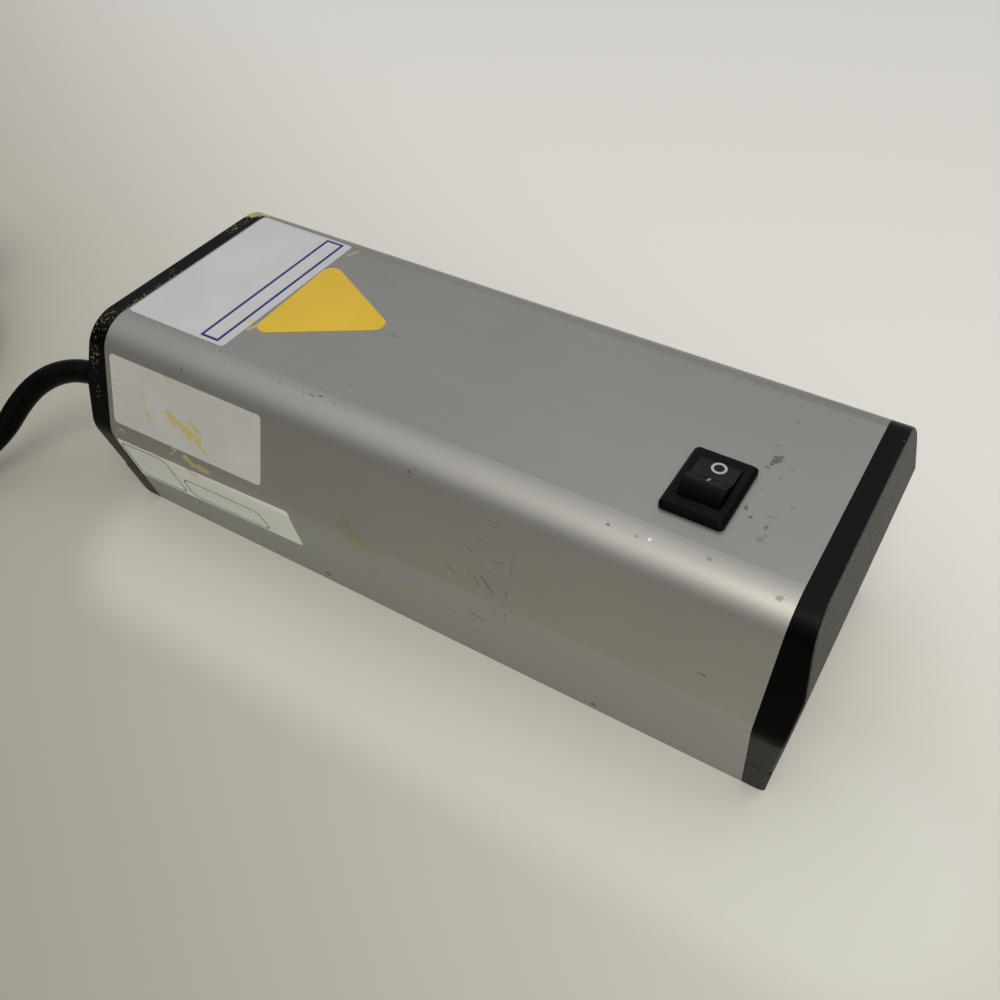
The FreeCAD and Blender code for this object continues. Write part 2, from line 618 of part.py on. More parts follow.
def tube_pins():
    """Bi-pin contacts; they stand level, a quarter turn from the holders' slots."""
    pins = []
    for end in (-1, 1):
        for side in (-1, 1):
            start = Vector(end * TUBE_FACE_LENGTH / 2, side * PIN_SPREAD, TUBE_AXIS_HEIGHT)
            pin = rod(PIN_RADIUS, start, X_AXIS * end, PIN_LENGTH)
            tip = [e for e in pin.Edges if abs(e.BoundBox.Center.x) > abs(start.x) + PIN_LENGTH - 0.1
                   and e.BoundBox.XLength < 0.01]
            pins.append(pin.makeFillet(0.5, tip))
    return Part.makeCompound(pins)


def lamp_holder():
    """Holder under the chassis, with an entry slot and a ring groove for the pins."""
    face = TUBE_FACE_LENGTH / 2 + SEAT
    foot = TUBE_AXIS_HEIGHT - HOLDER_DROP
    half = HOLDER_WIDTH / 2
    outline = [(-half, foot), (half, foot), (half, CHASSIS_BOTTOM), (-half, CHASSIS_BOTTOM)]
    body = prism(outline, [half * 0.7, half * 0.7, 0, 0], "x", face, face + HOLDER_THICKNESS)
    axis = Vector(face - 1, 0, TUBE_AXIS_HEIGHT)
    ring = rod(HOLDER_GROOVE_OUTER, axis, X_AXIS, HOLDER_GROOVE_DEPTH + 1)
    ring = ring.cut(rod(HOLDER_GROOVE_INNER, axis, X_AXIS, HOLDER_GROOVE_DEPTH + 1))
    slot_half = PIN_RADIUS + 0.3
    slot = box(face - 1, face + HOLDER_GROOVE_DEPTH, -slot_half, slot_half, foot - 1,
               TUBE_AXIS_HEIGHT - HOLDER_GROOVE_INNER)
    screw = rod(RIVET_RADIUS, Vector(face + HOLDER_THICKNESS / 2, half - 3, CHASSIS_BOTTOM), Z_AXIS * -1, 5)
    other = rod(RIVET_RADIUS, Vector(face + HOLDER_THICKNESS / 2, 3 - half, CHASSIS_BOTTOM), Z_AXIS * -1, 5)
    return body.cut([ring, slot, screw, other])


def holder_screws():
    """Screws down through the chassis into the lamp holders."""
    x = TUBE_FACE_LENGTH / 2 + SEAT + HOLDER_THICKNESS / 2
    screws = []
    for end in (-1, 1):
        for side in (-1, 1):
            at = Vector(end * x, side * (HOLDER_WIDTH / 2 - HOLDER_SCREW_INSET), CHASSIS_TOP)
            shank = rod(RIVET_RADIUS - 0.05, at, Z_AXIS * -1, HOLDER_SCREW_LENGTH)
            screws.append(rod(RIVET_HEAD_RADIUS, at, Z_AXIS, RIVET_HEAD_HEIGHT + 0.6).fuse(shank).removeSplitter())
    return Part.makeCompound(screws)


def chassis_plate():
    """Steel plate that slides in the housing's ribs and carries the electrical parts."""
    wide = side_at(CHASSIS_BOTTOM - FINE, HOUSING_WALL) - SEAT
    plate = box(-CHASSIS_LENGTH / 2, CHASSIS_LENGTH / 2, -wide, wide, CHASSIS_BOTTOM, CHASSIS_TOP)
    corners = [e for e in plate.Edges if e.BoundBox.ZLength > CHASSIS_THICKNESS / 2]
    plate = plate.makeFillet(2, corners)
    bores = rivet_holes()
    x = TUBE_FACE_LENGTH / 2 + SEAT + HOLDER_THICKNESS / 2
    for end in (-1, 1):
        for side in (-1, 1):
            at = Vector(end * x, side * (HOLDER_WIDTH / 2 - HOLDER_SCREW_INSET), CHASSIS_BOTTOM - 1)
            bores.append(rod(RIVET_RADIUS + FINE, at, Z_AXIS, CHASSIS_THICKNESS + 2))
        lead = Vector(end * (x + HOLDER_THICKNESS), 0, CHASSIS_BOTTOM - 1)
        bores.append(rod(2.5, lead, Z_AXIS, CHASSIS_THICKNESS + 2))
        foot = Vector(BALLAST_X + end * (BRACKET_LENGTH / 2 - BRACKET_SCREW_INSET), 0, CHASSIS_BOTTOM - 1)
        bores.append(rod(RIVET_RADIUS + FINE, foot, Z_AXIS, CHASSIS_THICKNESS + 2))
    return plate.cut(bores)


def ballast_core():
    """Laminated iron core of the choke, with its two winding windows."""
    core = box(BALLAST_X - CORE_LENGTH / 2, BALLAST_X + CORE_LENGTH / 2, -CORE_WIDTH / 2, CORE_WIDTH / 2,
               CHASSIS_TOP, CHASSIS_TOP + CORE_HEIGHT)
    middle = CHASSIS_TOP + CORE_HEIGHT / 2
    windows = []
    for side in (-1, 1):
        y0 = side * COIL_WIDTH / 4
        y1 = side * (COIL_WIDTH / 2 + SEAT)
        windows.append(box(BALLAST_X - CORE_LENGTH, BALLAST_X + CORE_LENGTH, y0, y1,
                           middle - COIL_HEIGHT / 2 - SEAT, middle + COIL_HEIGHT / 2 + SEAT))
    return core.cut(windows)


def ballast_winding():
    """Taped winding of the choke: two bars through the core, joined at both ends."""
    middle = CHASSIS_TOP + CORE_HEIGHT / 2
    reach = CORE_LENGTH / 2 + COIL_OVERHANG
    half = COIL_WIDTH / 2
    loop = prism(rectangle(BALLAST_X - reach, BALLAST_X + reach, -half, half), 4, "z",
                 middle - COIL_HEIGHT / 2, middle + COIL_HEIGHT / 2)
    inner = CORE_LENGTH / 2 + SEAT
    hole = box(BALLAST_X - inner, BALLAST_X + inner, -half / 2 - SEAT, half / 2 + SEAT,
               middle - COIL_HEIGHT, middle + COIL_HEIGHT)
    return loop.cut(hole)


def ballast_bracket():
    """Bent steel strap over the core, with a slotted foot at each end."""
    t = BRACKET_THICKNESS
    top = CHASSIS_TOP + CORE_HEIGHT
    reach = BRACKET_REACH
    profile = []
    outer = [
        (BRACKET_LENGTH / 2, CHASSIS_TOP),
        (BRACKET_LENGTH / 2, CHASSIS_TOP + t),
        (reach + t, CHASSIS_TOP + t),
        (reach + t, top + t),
    ]
    inner = [(reach, top), (reach, CHASSIS_TOP)]
    profile += [(BALLAST_X + x, z) for x, z in outer]
    profile += [(BALLAST_X - x, z) for x, z in reversed(outer)]
    profile += [(BALLAST_X - x, z) for x, z in reversed(inner)]
    profile += [(BALLAST_X + x, z) for x, z in inner]
    strap = prism(profile, 0, "y", -BRACKET_WIDTH / 2, BRACKET_WIDTH / 2)
    slots = []
    for end in (-1, 1):
        x = BALLAST_X + end * (BRACKET_LENGTH / 2 - BRACKET_SCREW_INSET)
        slots.append(rod(RIVET_RADIUS + FINE, Vector(x, 0, CHASSIS_TOP - 1), Z_AXIS, t + 2))
    return strap.cut(slots)


def ballast_screws():
    """Screws through the bracket's feet and the chassis."""
    screws = []
    for end in (-1, 1):
        at = Vector(BALLAST_X + end * (BRACKET_LENGTH / 2 - BRACKET_SCREW_INSET), 0, CHASSIS_TOP + BRACKET_THICKNESS)
        shank = rod(RIVET_RADIUS, at, Z_AXIS * -1, BRACKET_THICKNESS + CHASSIS_THICKNESS)
        screws.append(rod(RIVET_HEAD_RADIUS, at, Z_AXIS, RIVET_HEAD_HEIGHT + 0.6).fuse(shank).removeSplitter())
    return Part.makeCompound(screws)


def starter_axis():
    return Vector(STARTER_FACE_X, STARTER_Y, CHASSIS_TOP + SOCKET_WIDTH / 2)


def starter_socket():
    """Socket on the chassis; the starter's two studs turn in its ring groove."""
    axis = starter_axis()
    face = axis.x + SEAT
    half = SOCKET_WIDTH / 2
    body = prism(rectangle(axis.y - half, axis.y + half, CHASSIS_TOP, CHASSIS_TOP + SOCKET_WIDTH),
                 [0, 0, 5, 5], "x", face, face + SOCKET_THICKNESS)
    depth = SOCKET_THICKNESS - 3
    outer = STARTER_PIN_SPREAD + STARTER_HEAD_RADIUS + 2 * SEAT
    inner = STARTER_PIN_SPREAD - STARTER_HEAD_RADIUS - 2 * SEAT
    start = Vector(face - 1, axis.y, axis.z)
    ring = rod(outer, start, X_AXIS, depth + 1).cut(rod(inner, start, X_AXIS, depth + 1))
    return body.cut(ring)


def starter_can():
    """Starter canister with its moulded base disc."""
    axis = starter_axis()
    can = rod(STARTER_RADIUS, axis, X_AXIS * -1, STARTER_LENGTH)
    can = can.makeFillet(2, [e for e in can.Edges if e.BoundBox.XMax < axis.x - 1 and e.BoundBox.XLength < 0.01])
    groove = rod(STARTER_RADIUS + 1, axis - X_AXIS * 4, X_AXIS * -1, 1)
    groove = groove.cut(rod(STARTER_RADIUS - 0.5, axis - X_AXIS * 4, X_AXIS * -1, 1))
    return can.cut(groove)


def starter_studs():
    """Headed contact studs of the starter."""
    axis = starter_axis()
    studs = []
    for side in (-1, 1):
        start = axis + Y_AXIS * side * STARTER_PIN_SPREAD
        shank = rod(STARTER_PIN_RADIUS, start, X_AXIS, 4)
        studs.append(shank.fuse(rod(STARTER_HEAD_RADIUS, start + X_AXIS * 4, X_AXIS, 2)).removeSplitter())
    return Part.makeCompound(studs)


def pole_y(pole):
    return BLOCK_Y + pole * BLOCK_POLE


def terminal_block():
    """Three-pole screw terminal block on the chassis; its wires run along X."""
    foot = CHASSIS_TOP
    half_y = BLOCK_POLE * 1.5
    half_x = BLOCK_DEPTH / 2
    body = box(BLOCK_X - half_x, BLOCK_X + half_x, BLOCK_Y - half_y, BLOCK_Y + half_y,
               foot, foot + BLOCK_HEIGHT * 0.6)
    towers = []
    bores = []
    for pole in (-1, 0, 1):
        y = pole_y(pole)
        towers.append(box(BLOCK_X - half_x + BLOCK_STEP, BLOCK_X + half_x - BLOCK_STEP,
                          y - BLOCK_POLE / 2 + BLOCK_GAP, y + BLOCK_POLE / 2 - BLOCK_GAP,
                          foot, foot + BLOCK_HEIGHT))
        bores.append(rod(BLOCK_BORE_RADIUS, Vector(BLOCK_X - BLOCK_DEPTH, y, foot + BLOCK_BORE_HEIGHT),
                         X_AXIS, 2 * BLOCK_DEPTH))
        for side in (-1, 1):
            top = Vector(BLOCK_X + side * BLOCK_SCREW_OFFSET, y, foot + BLOCK_BORE_HEIGHT)
            bores.append(rod(BLOCK_SCREW_RADIUS + FINE, top, Z_AXIS, BLOCK_HEIGHT))
    return body.fuse(towers).cut(bores).removeSplitter()


def terminal_screws():
    """Clamp screws of the terminal block."""
    screws = []
    low = CHASSIS_TOP + BLOCK_BORE_HEIGHT + BLOCK_BORE_RADIUS
    top = CHASSIS_TOP + BLOCK_HEIGHT - 1
    for pole in (-1, 0, 1):
        for side in (-1, 1):
            at = Vector(BLOCK_X + side * BLOCK_SCREW_OFFSET, pole_y(pole), low)
            screw = rod(BLOCK_SCREW_RADIUS, at, Z_AXIS, top - low)
            slot = box(at.x - 2, at.x + 2, at.y - 0.3, at.y + 0.3, top - 0.8, top + 1)
            screws.append(screw.cut(slot))
    return Part.makeCompound(screws)


def switch_point(y, z):
    """Point in the rocker's own plane, measured from its pivot."""
    return Vector(PIVOT.x, PIVOT.y + y, PIVOT.z + z)


def tilted(shape, degrees):
    copy = shape.copy()
    copy.rotate(PIVOT, X_AXIS, degrees)
    return copy


def switch_body():
    """Panel housing of the rocker: bevelled bezel, open well, side walls and latch wings."""
    bezel = prism(rectangle(SWITCH_X - BEZEL_WIDTH / 2, SWITCH_X + BEZEL_WIDTH / 2,
                            SWITCH_Y - BEZEL_LENGTH / 2, SWITCH_Y + BEZEL_LENGTH / 2),
                  BEZEL_CORNER, "z", BODY_HEIGHT, BEZEL_TOP)
    rim = [e for e in bezel.Edges if e.BoundBox.ZMin > BEZEL_TOP - 0.01]
    bezel = bezel.makeChamfer(BEZEL_BEVEL, rim)
    half_x = SWITCH_BODY_WIDTH / 2
    half_y = SWITCH_BODY_LENGTH / 2
    floor = BODY_HEIGHT - SWITCH_BODY_DEPTH
    body = prism(rectangle(SWITCH_X - half_x, SWITCH_X + half_x, SWITCH_Y - half_y, SWITCH_Y + half_y),
                 0.6, "z", floor, BODY_HEIGHT)
    wings = []
    latch = BODY_HEIGHT - HOUSING_WALL - FINE
    for side in (-1, 1):
        y = SWITCH_Y + side * half_y
        out = side * (PANEL_CLEARANCE + 0.6)
        wings.append(prism([(y - side * 0.5, latch - 5), (y, latch - 5), (y + out, latch), (y - side * 0.5, latch)],
                           0, "x", SWITCH_X - 3, SWITCH_X + 3))
    well_half = ROCKER_WIDTH / 2 + ROCKER_GAP
    start = Vector(SWITCH_X - well_half, PIVOT.y, PIVOT.z)
    well = rod(ROCKER_RADIUS + ROCKER_GAP, start, X_AXIS, 2 * well_half)
    chamber = box(SWITCH_X - well_half, SWITCH_X + well_half, SWITCH_Y - ROCKER_RADIUS - ROCKER_GAP,
                  SWITCH_Y + ROCKER_RADIUS + ROCKER_GAP, floor + SWITCH_WALL, PIVOT.z)
    pivot_bore = rod(ROCKER_PIN_RADIUS + ROCKER_PIN_CLEARANCE, Vector(SWITCH_X - half_x - 1, PIVOT.y, PIVOT.z),
                     X_AXIS, 2 * half_x + 2)
    slots = []
    for y in terminal_places():
        slots.append(box(SWITCH_X - TERMINAL_WIDTH / 2 - FINE, SWITCH_X + TERMINAL_WIDTH / 2 + FINE,
                         y - TERMINAL_THICKNESS / 2 - FINE, y + TERMINAL_THICKNESS / 2 + FINE,
                         floor - 1, floor + SWITCH_WALL + 1))
    solid = bezel.fuse([body] + wings).cut([well, chamber] + slots)
    return solid.cut(pivot_bore).removeSplitter()


def terminal_places():
    return [SWITCH_Y, SWITCH_Y + ROCKER_RADIUS - 1.5]


def rocker():
    """Rocker with round ends about its pivot, a V-shaped top and two pivot pins."""
    half = ROCKER_WIDTH / 2
    span = math.radians(ROCKER_HALF_SPAN)
    end_y = ROCKER_RADIUS * math.sin(span)
    end_z = ROCKER_RADIUS * math.cos(span)
    valley = end_z - end_y * math.tan(math.radians(ROCKER_VEE))
    start = Vector(SWITCH_X - half, PIVOT.y, PIVOT.z)
    drum = rod(ROCKER_RADIUS, start, X_AXIS, ROCKER_WIDTH)
    keep = []
    for y, z in ((-ROCKER_RADIUS - 1, -0.8), (ROCKER_RADIUS + 1, -0.8), (ROCKER_RADIUS + 1, end_z),
                 (end_y, end_z), (0, valley), (-end_y, end_z), (-ROCKER_RADIUS - 1, end_z)):
        keep.append((PIVOT.y + y, PIVOT.z + z))
    form = drum.common(prism(keep, [0, 0, 0, 0, 1.5, 0, 0], "x", start.x - 1, start.x + ROCKER_WIDTH + 1))
    crest = [e for e in form.Edges if e.BoundBox.ZMin > PIVOT.z + valley - 0.01
             and e.BoundBox.ZMin > PIVOT.z + end_z - 0.05]
    form = form.makeFillet(0.35, crest)
    hollow = box(SWITCH_X - half + 1.2, SWITCH_X + half - 1.2, PIVOT.y - ROCKER_RADIUS + 1.8,
                 PIVOT.y + ROCKER_RADIUS - 1.8, PIVOT.z - 2, PIVOT.z + valley - 1.6)
    leg = box(SWITCH_X - 2.2, SWITCH_X + 2.2, PIVOT.y - 2.2, PIVOT.y + 2.2, PIVOT.z - 4.2, PIVOT.z + valley - 1)
    axle = rod(ROCKER_PIN_RADIUS, Vector(SWITCH_X - SWITCH_BODY_WIDTH / 2 + 0.3, PIVOT.y, PIVOT.z), X_AXIS,
               SWITCH_BODY_WIDTH - 0.6)
    bore = rod(PLUNGER_RADIUS + 0.05, switch_point(0, -5), Z_AXIS, 5 + 1.0)
    form = form.cut(hollow).fuse([leg, axle]).cut(bore).removeSplitter()
    return tilted(form, -ROCKER_TILT)


def plunger():
    """Sprung contact plunger in the rocker's leg."""
    tip = rod(PLUNGER_RADIUS, switch_point(0, -PLUNGER_TIP_DROP), Z_AXIS, PLUNGER_TIP_DROP - 1.5)
    low = [e for e in tip.Edges if e.BoundBox.ZMax < PIVOT.z - PLUNGER_TIP_DROP + 0.1]
    return tilted(tip.makeFillet(0.7, low), -ROCKER_TILT)


def blade_rest(shape):
    """Turns the seesaw contact about its fulcrum into its rest place."""
    copy = shape.copy()
    copy.rotate(switch_point(0, -BLADE_DROP), X_AXIS, BLADE_TILT)
    return copy


def contact_blade():
    """Shallow V-shaped seesaw contact under the plunger."""
    rise = math.tan(math.radians(BLADE_TILT))
    top = -BLADE_DROP
    low = top - BLADE_THICKNESS
    reach = BLADE_HALF_LENGTH
    outline = [(-reach, low + reach * rise), (0, low), (reach, low + reach * rise),
               (reach, top + reach * rise), (0, top), (-reach, top + reach * rise)]
    points = [(PIVOT.y + y, PIVOT.z + z) for y, z in outline]
    return blade_rest(prism(points, 0, "x", SWITCH_X - BLADE_WIDTH / 2, SWITCH_X + BLADE_WIDTH / 2))


def switch_terminals():
    """Centre terminal with the blade's fulcrum, and one outer contact terminal."""
    floor = BODY_HEIGHT - SWITCH_BODY_DEPTH
    places = terminal_places()
    fulcrum = PIVOT.z - BLADE_DROP - BLADE_THICKNESS - 0.25
    contact = floor + SWITCH_WALL + 2.2
    tabs = []
    for y, top in zip(places, (fulcrum, contact)):
        tab = box(SWITCH_X - TERMINAL_WIDTH / 2, SWITCH_X + TERMINAL_WIDTH / 2, y - TERMINAL_THICKNESS / 2,
                  y + TERMINAL_THICKNESS / 2, floor - TERMINAL_LENGTH, top)
        hole = rod(0.8, Vector(SWITCH_X, y - 2, floor - TERMINAL_LENGTH + 2.5), Y_AXIS, 4)
        tabs.append(tab.cut(hole))
    return Part.makeCompound(tabs)


def strain_relief():
    """Moulded relief: inner snap ring, neck, flange and a ribbed tapered tail."""
    seat = relief_seat_x()
    neck = seat - HALF
    tail = RELIEF_FLANGE_THICKNESS + RELIEF_LENGTH
    bore = CORD_RADIUS + FINE
    outline = [(bore, -neck - 2.2), (RELIEF_NECK_RADIUS + 0.9, -neck - 2.2), (RELIEF_NECK_RADIUS + 0.9, -neck - FINE),
               (RELIEF_NECK_RADIUS, -neck - FINE), (RELIEF_NECK_RADIUS, 0), (RELIEF_FLANGE_RADIUS, 0),
               (RELIEF_FLANGE_RADIUS, RELIEF_FLANGE_THICKNESS), (RELIEF_ROOT_RADIUS, RELIEF_FLANGE_THICKNESS)]
    pitch = (RELIEF_LENGTH - 4) / RELIEF_GROOVES
    for i in range(RELIEF_GROOVES):
        along = RELIEF_FLANGE_THICKNESS + 3 + i * pitch
        share = (along - RELIEF_FLANGE_THICKNESS) / RELIEF_LENGTH
        radius = RELIEF_ROOT_RADIUS + (RELIEF_TIP_RADIUS - RELIEF_ROOT_RADIUS) * share
        outline += [(radius, along), (radius - 0.7, along + 0.3), (radius - 0.7, along + 1.5),
                    (radius - 0.1, along + 1.8)]
    outline += [(RELIEF_TIP_RADIUS, tail), (bore, tail)]
    return turned(outline, Vector(-seat, CORD_Y, CORD_Z), X_AXIS * -1)


def cord_inner():
    """Cord sheath from inside the relief to the end of its clamp."""
    start = Vector(lead_route()[0][0], CORD_Y, CORD_Z)
    return rod(CORD_RADIUS, start, X_AXIS, -start.x - sheath_end())


def sheath_end():
    """Distance of the stripped end of the sheath from the middle."""
    return CHASSIS_LENGTH / 2 - SHEATH_REACH


def cord_cores():
    """Three insulated cores from the stripped sheath into the terminal block."""
    height = CHASSIS_TOP + BLOCK_BORE_HEIGHT
    face = BLOCK_X - BLOCK_DEPTH / 2
    start = -sheath_end()
    cores = []
    for pole in (-1, 0, 1):
        near = CORD_Y + pole * CORE_RADIUS * 2
        route = [
            (start, near, CORD_Z),
            (start + (face - start) * 0.35, near, CORD_Z),
            (start + (face - start) * 0.8, pole_y(pole), height - 0.1),
            (face + 2.5, pole_y(pole), height),
        ]
        cores.append(tube_path(route, CORE_RADIUS, "cord core"))
    return Part.makeCompound(cores)


def cord_clamp():
    """Saddle over the cord on the chassis, with its screws."""
    x0 = -CHASSIS_LENGTH / 2 + 1.5
    x1 = x0 + 7
    outer = CORD_RADIUS + FINE + 1.5
    hump = rod(outer, Vector(x0, CORD_Y, CORD_Z), X_AXIS, x1 - x0)
    saddle = box(x0, x1, CORD_Y - outer, CORD_Y + outer, CHASSIS_TOP, CORD_Z)
    foot = box(x0, x1, CORD_Y - outer - 1, CORD_Y + outer + 6, CHASSIS_TOP, CHASSIS_TOP + 1.5)
    bore = rod(CORD_RADIUS + FINE, Vector(x0 - 1, CORD_Y, CORD_Z), X_AXIS, x1 - x0 + 2)
    screw_at = Vector((x0 + x1) / 2, CORD_Y + outer + 3, CHASSIS_TOP)
    head = rod(2.4, screw_at + Z_AXIS * 1.5, Z_AXIS, 1.6)
    body = hump.fuse([saddle, foot, head])
    keep = box(x0 - 1, x1 + 1, CORD_Y - 3 * outer, CORD_Y + 3 * outer, CHASSIS_TOP, CORD_Z + outer + 1)
    return body.common(keep).cut(bore).removeSplitter()


def tube_path(points, radius, name):
    """Round cord along straight runs joined by tangent arcs; prints its radii."""
    route = [Vector(*p) for p in points]
    edges = []
    last = route[0]
    radii = []
    for before, here, after in zip(route, route[1:], route[2:]):
        back = before - here
        ahead = after - here
        shorter = min(back.Length, ahead.Length)
        back.normalize()
        ahead.normalize()
        half = back.getAngle(ahead) / 2
        reach = 0.45 * shorter
        bend = reach * math.tan(half)
        radii.append(round(bend, 1))
        start = here + back * reach
        end = here + ahead * reach
        centre = here + (back + ahead).normalize() * (bend / math.sin(half))
        middle = centre + (here - centre).normalize() * bend
        edges.append(Part.LineSegment(last, start).toShape())
        edges.append(Part.Arc(start, middle, end).toShape())
        last = end
    edges.append(Part.LineSegment(last, route[-1]).toShape())
    path = Part.Wire(edges)
    profile = Part.Wire(Part.Circle(route[0], (route[1] - route[0]).normalize(), radius).toShape())
    tube = path.makePipeShell([profile], True, True)
    ideal = math.pi * radius ** 2 * path.Length
    print(name, "length", round(path.Length, 1), "radii", radii, "volume ratio", round(tube.Volume / ideal, 4))
    return tube


def lead_route():
    """Free cord from the cap's face, out, down to the table and into the coil."""
    return [
        (-104.0, CORD_Y, CORD_Z),
        (-116.6, CORD_Y, CORD_Z),
        (-128.0, -32.6, 32.4),
        (-136.1, -39.6, 25.9),
        (-140.2, -51.2, 14.4),
        (-149.0, -66.0, 7.4),
        (-163.5, -80.5, 3.8),
        (-186.0, -90.8, 3.8),
        (-214.0, -90.5, 4.8),
    ]


def tail_route():
    """End of the cord, off the top of the coil and round into the plug that lies on it."""
    cx, cy = COIL_CENTRE
    top = TIE_THICKNESS + SEAT + COIL_BAND_HEIGHT
    return [
        (cx + 36.0, cy - 23.0, top - 0.5),
        (cx + 30.3, cy - 31.9, top + 1.2),
        (cx + 16.0, cy - 41.2, top + 3.8),
        (cx + 0.4, cy - 41.6, top + 5.4),
        (cx - 13.6, cy - 35.0, top + 7.4),
        (cx - 20.2, cy - 23.0, top + 8.9),
        (cx - 20.6, cy - 9.0, top + SEAT + PLUG_CORD_HEIGHT),
    ]


def cord_coil():
    """Plain ring with the outside shape of the neatly wound, put-away cord."""
    cx, cy = COIL_CENTRE
    inner = COIL_MEAN_RADIUS - COIL_BAND / 2
    outer = COIL_MEAN_RADIUS + COIL_BAND / 2
    foot = TIE_THICKNESS + SEAT
    centre = Vector(cx, cy, foot)
    ring = rod(outer, centre, Z_AXIS, COIL_BAND_HEIGHT).cut(rod(inner, centre, Z_AXIS, COIL_BAND_HEIGHT))
    round_edges = [e for e in ring.Edges if e.BoundBox.ZLength < 0.01]
    return ring.makeFillet(CORD_RADIUS - 0.3, round_edges)


def cord_tie():
    """Strap closed round the coil's band, on the side towards the housing."""
    cx, cy = COIL_CENTRE
    foot = TIE_THICKNESS + SEAT
    inner_radius = COIL_MEAN_RADIUS - COIL_BAND / 2
    inner = math.sqrt(inner_radius ** 2 - (TIE_WIDTH / 2) ** 2) - SEAT
    outer = COIL_MEAN_RADIUS + COIL_BAND / 2 + SEAT
    x0 = cx + inner
    x1 = cx + outer
    loop = rectangle(x0 - TIE_THICKNESS, x1 + TIE_THICKNESS, 0, foot + COIL_BAND_HEIGHT + SEAT + TIE_THICKNESS)
    hole = rectangle(x0, x1, TIE_THICKNESS, foot + COIL_BAND_HEIGHT + SEAT)
    low = cy - TIE_WIDTH / 2
    high = cy + TIE_WIDTH / 2
    return prism(loop, 3.5, "y", low, high).cut(prism(hole, 2.5, "y", low - 1, high + 1))


def plug_frame(shape):
    """Moves a shape from the plug's own frame to the end of the cord, flat on the coil."""
    end = Vector(*tail_route()[-1])
    copy = shape.copy()
    copy.rotate(Vector(0, 0, 0), Z_AXIS, PLUG_HEADING)
    copy.translate(Vector(end.x, end.y, end.z - PLUG_CORD_HEIGHT))
    return copy


def plug_outline(inset):
    half = PLUG_WIDTH / 2 - inset
    u0 = PLUG_BOOT_LENGTH + inset
    u1 = PLUG_BOOT_LENGTH + PLUG_LENGTH - inset
    return [(u0, -half * 0.62), (u0 + 12, -half), (u1 - 8, -half), (u1, -half * 0.7),
            (u1, half * 0.7), (u1 - 8, half), (u0 + 12, half), (u0, half * 0.62)]


def plug_cover():
    """Back shell of the mains plug, with the cord's sleeve."""
    shell = prism(plug_outline(0), 5, "z", 0, PLUG_COVER_HEIGHT)
    low = [e for e in shell.Edges if e.BoundBox.ZMax < 0.01]
    shell = shell.makeFillet(2.5, low)
    hollow = prism(plug_outline(PLUG_WALL), 3, "z", PLUG_WALL, PLUG_COVER_HEIGHT + 1)
    sleeve = Part.makeCone(PLUG_SLEEVE_TIP_RADIUS, PLUG_SLEEVE_ROOT_RADIUS, PLUG_BOOT_LENGTH + PLUG_WALL,
                           Vector(0, 0, PLUG_CORD_HEIGHT), X_AXIS)
    bore = rod(CORD_RADIUS + FINE, Vector(-1, 0, PLUG_CORD_HEIGHT), X_AXIS, PLUG_BOOT_LENGTH + 5)
    return plug_frame(shell.cut(hollow).fuse(sleeve).cut(bore).removeSplitter())


def plug_base():
    """Pin side of the plug, with a raised rim that fits the cover."""
    foot = PLUG_COVER_HEIGHT + FINE
    slab = prism(plug_outline(0), 5, "z", foot, foot + PLUG_BASE_HEIGHT)
    top = [e for e in slab.Edges if e.BoundBox.ZMin > foot + PLUG_BASE_HEIGHT - 0.01]
    slab = slab.makeFillet(1.2, top)
    rim = prism(plug_outline(PLUG_WALL + 0.5), 2.8, "z", foot - 2, foot + 1)
    rim = rim.cut(prism(plug_outline(2 * PLUG_WALL), 1.5, "z", foot - 3, foot + 2))
    screw = rod(2.6, plug_screw_at() + Z_AXIS * -2.2, Z_AXIS, 6)
    return plug_frame(slab.fuse(rim).cut(screw).removeSplitter())


def plug_screw_at():
    return Vector(PLUG_BOOT_LENGTH + PLUG_LENGTH / 2, 0, PLUG_COVER_HEIGHT + FINE + PLUG_BASE_HEIGHT)


def plug_screw():
    """Screw that holds the two halves of the plug together."""
    at = plug_screw_at()
    head = rod(2.5, at - Z_AXIS * 2.2, Z_AXIS, 1.6)
    slot = box(at.x - 3, at.x + 3, at.y - 0.4, at.y + 0.4, at.z - 1.3, at.z)
    return plug_frame(head.cut(slot))


def plug_pins():
    """Three flat pins: one earth and two line pins."""
    foot = PLUG_COVER_HEIGHT + FINE + PLUG_BASE_HEIGHT
    earth_u = PLUG_BOOT_LENGTH + PLUG_LENGTH / 2 + PLUG_PIN_OFFSET
    line_u = PLUG_BOOT_LENGTH + PLUG_LENGTH / 2 - PLUG_PIN_OFFSET
    pins = [prism(rectangle(earth_u - 4, earth_u + 4, -2, 2), 1.0, "z", foot, foot + PLUG_EARTH_PIN_LENGTH)]
    for side in (-1, 1):
        v = side * PLUG_PIN_OFFSET
        pins.append(prism(rectangle(line_u - 2, line_u + 2, v - 3.18, v + 3.18), 1.0, "z",
                          foot, foot + PLUG_LIVE_PIN_LENGTH))
    tops = []
    for pin in pins:
        edges = [e for e in pin.Edges if e.BoundBox.ZMin > pin.BoundBox.ZMax - 0.01]
        tops.append(plug_frame(pin.makeChamfer(0.6, edges)))
    return Part.makeCompound(tops)


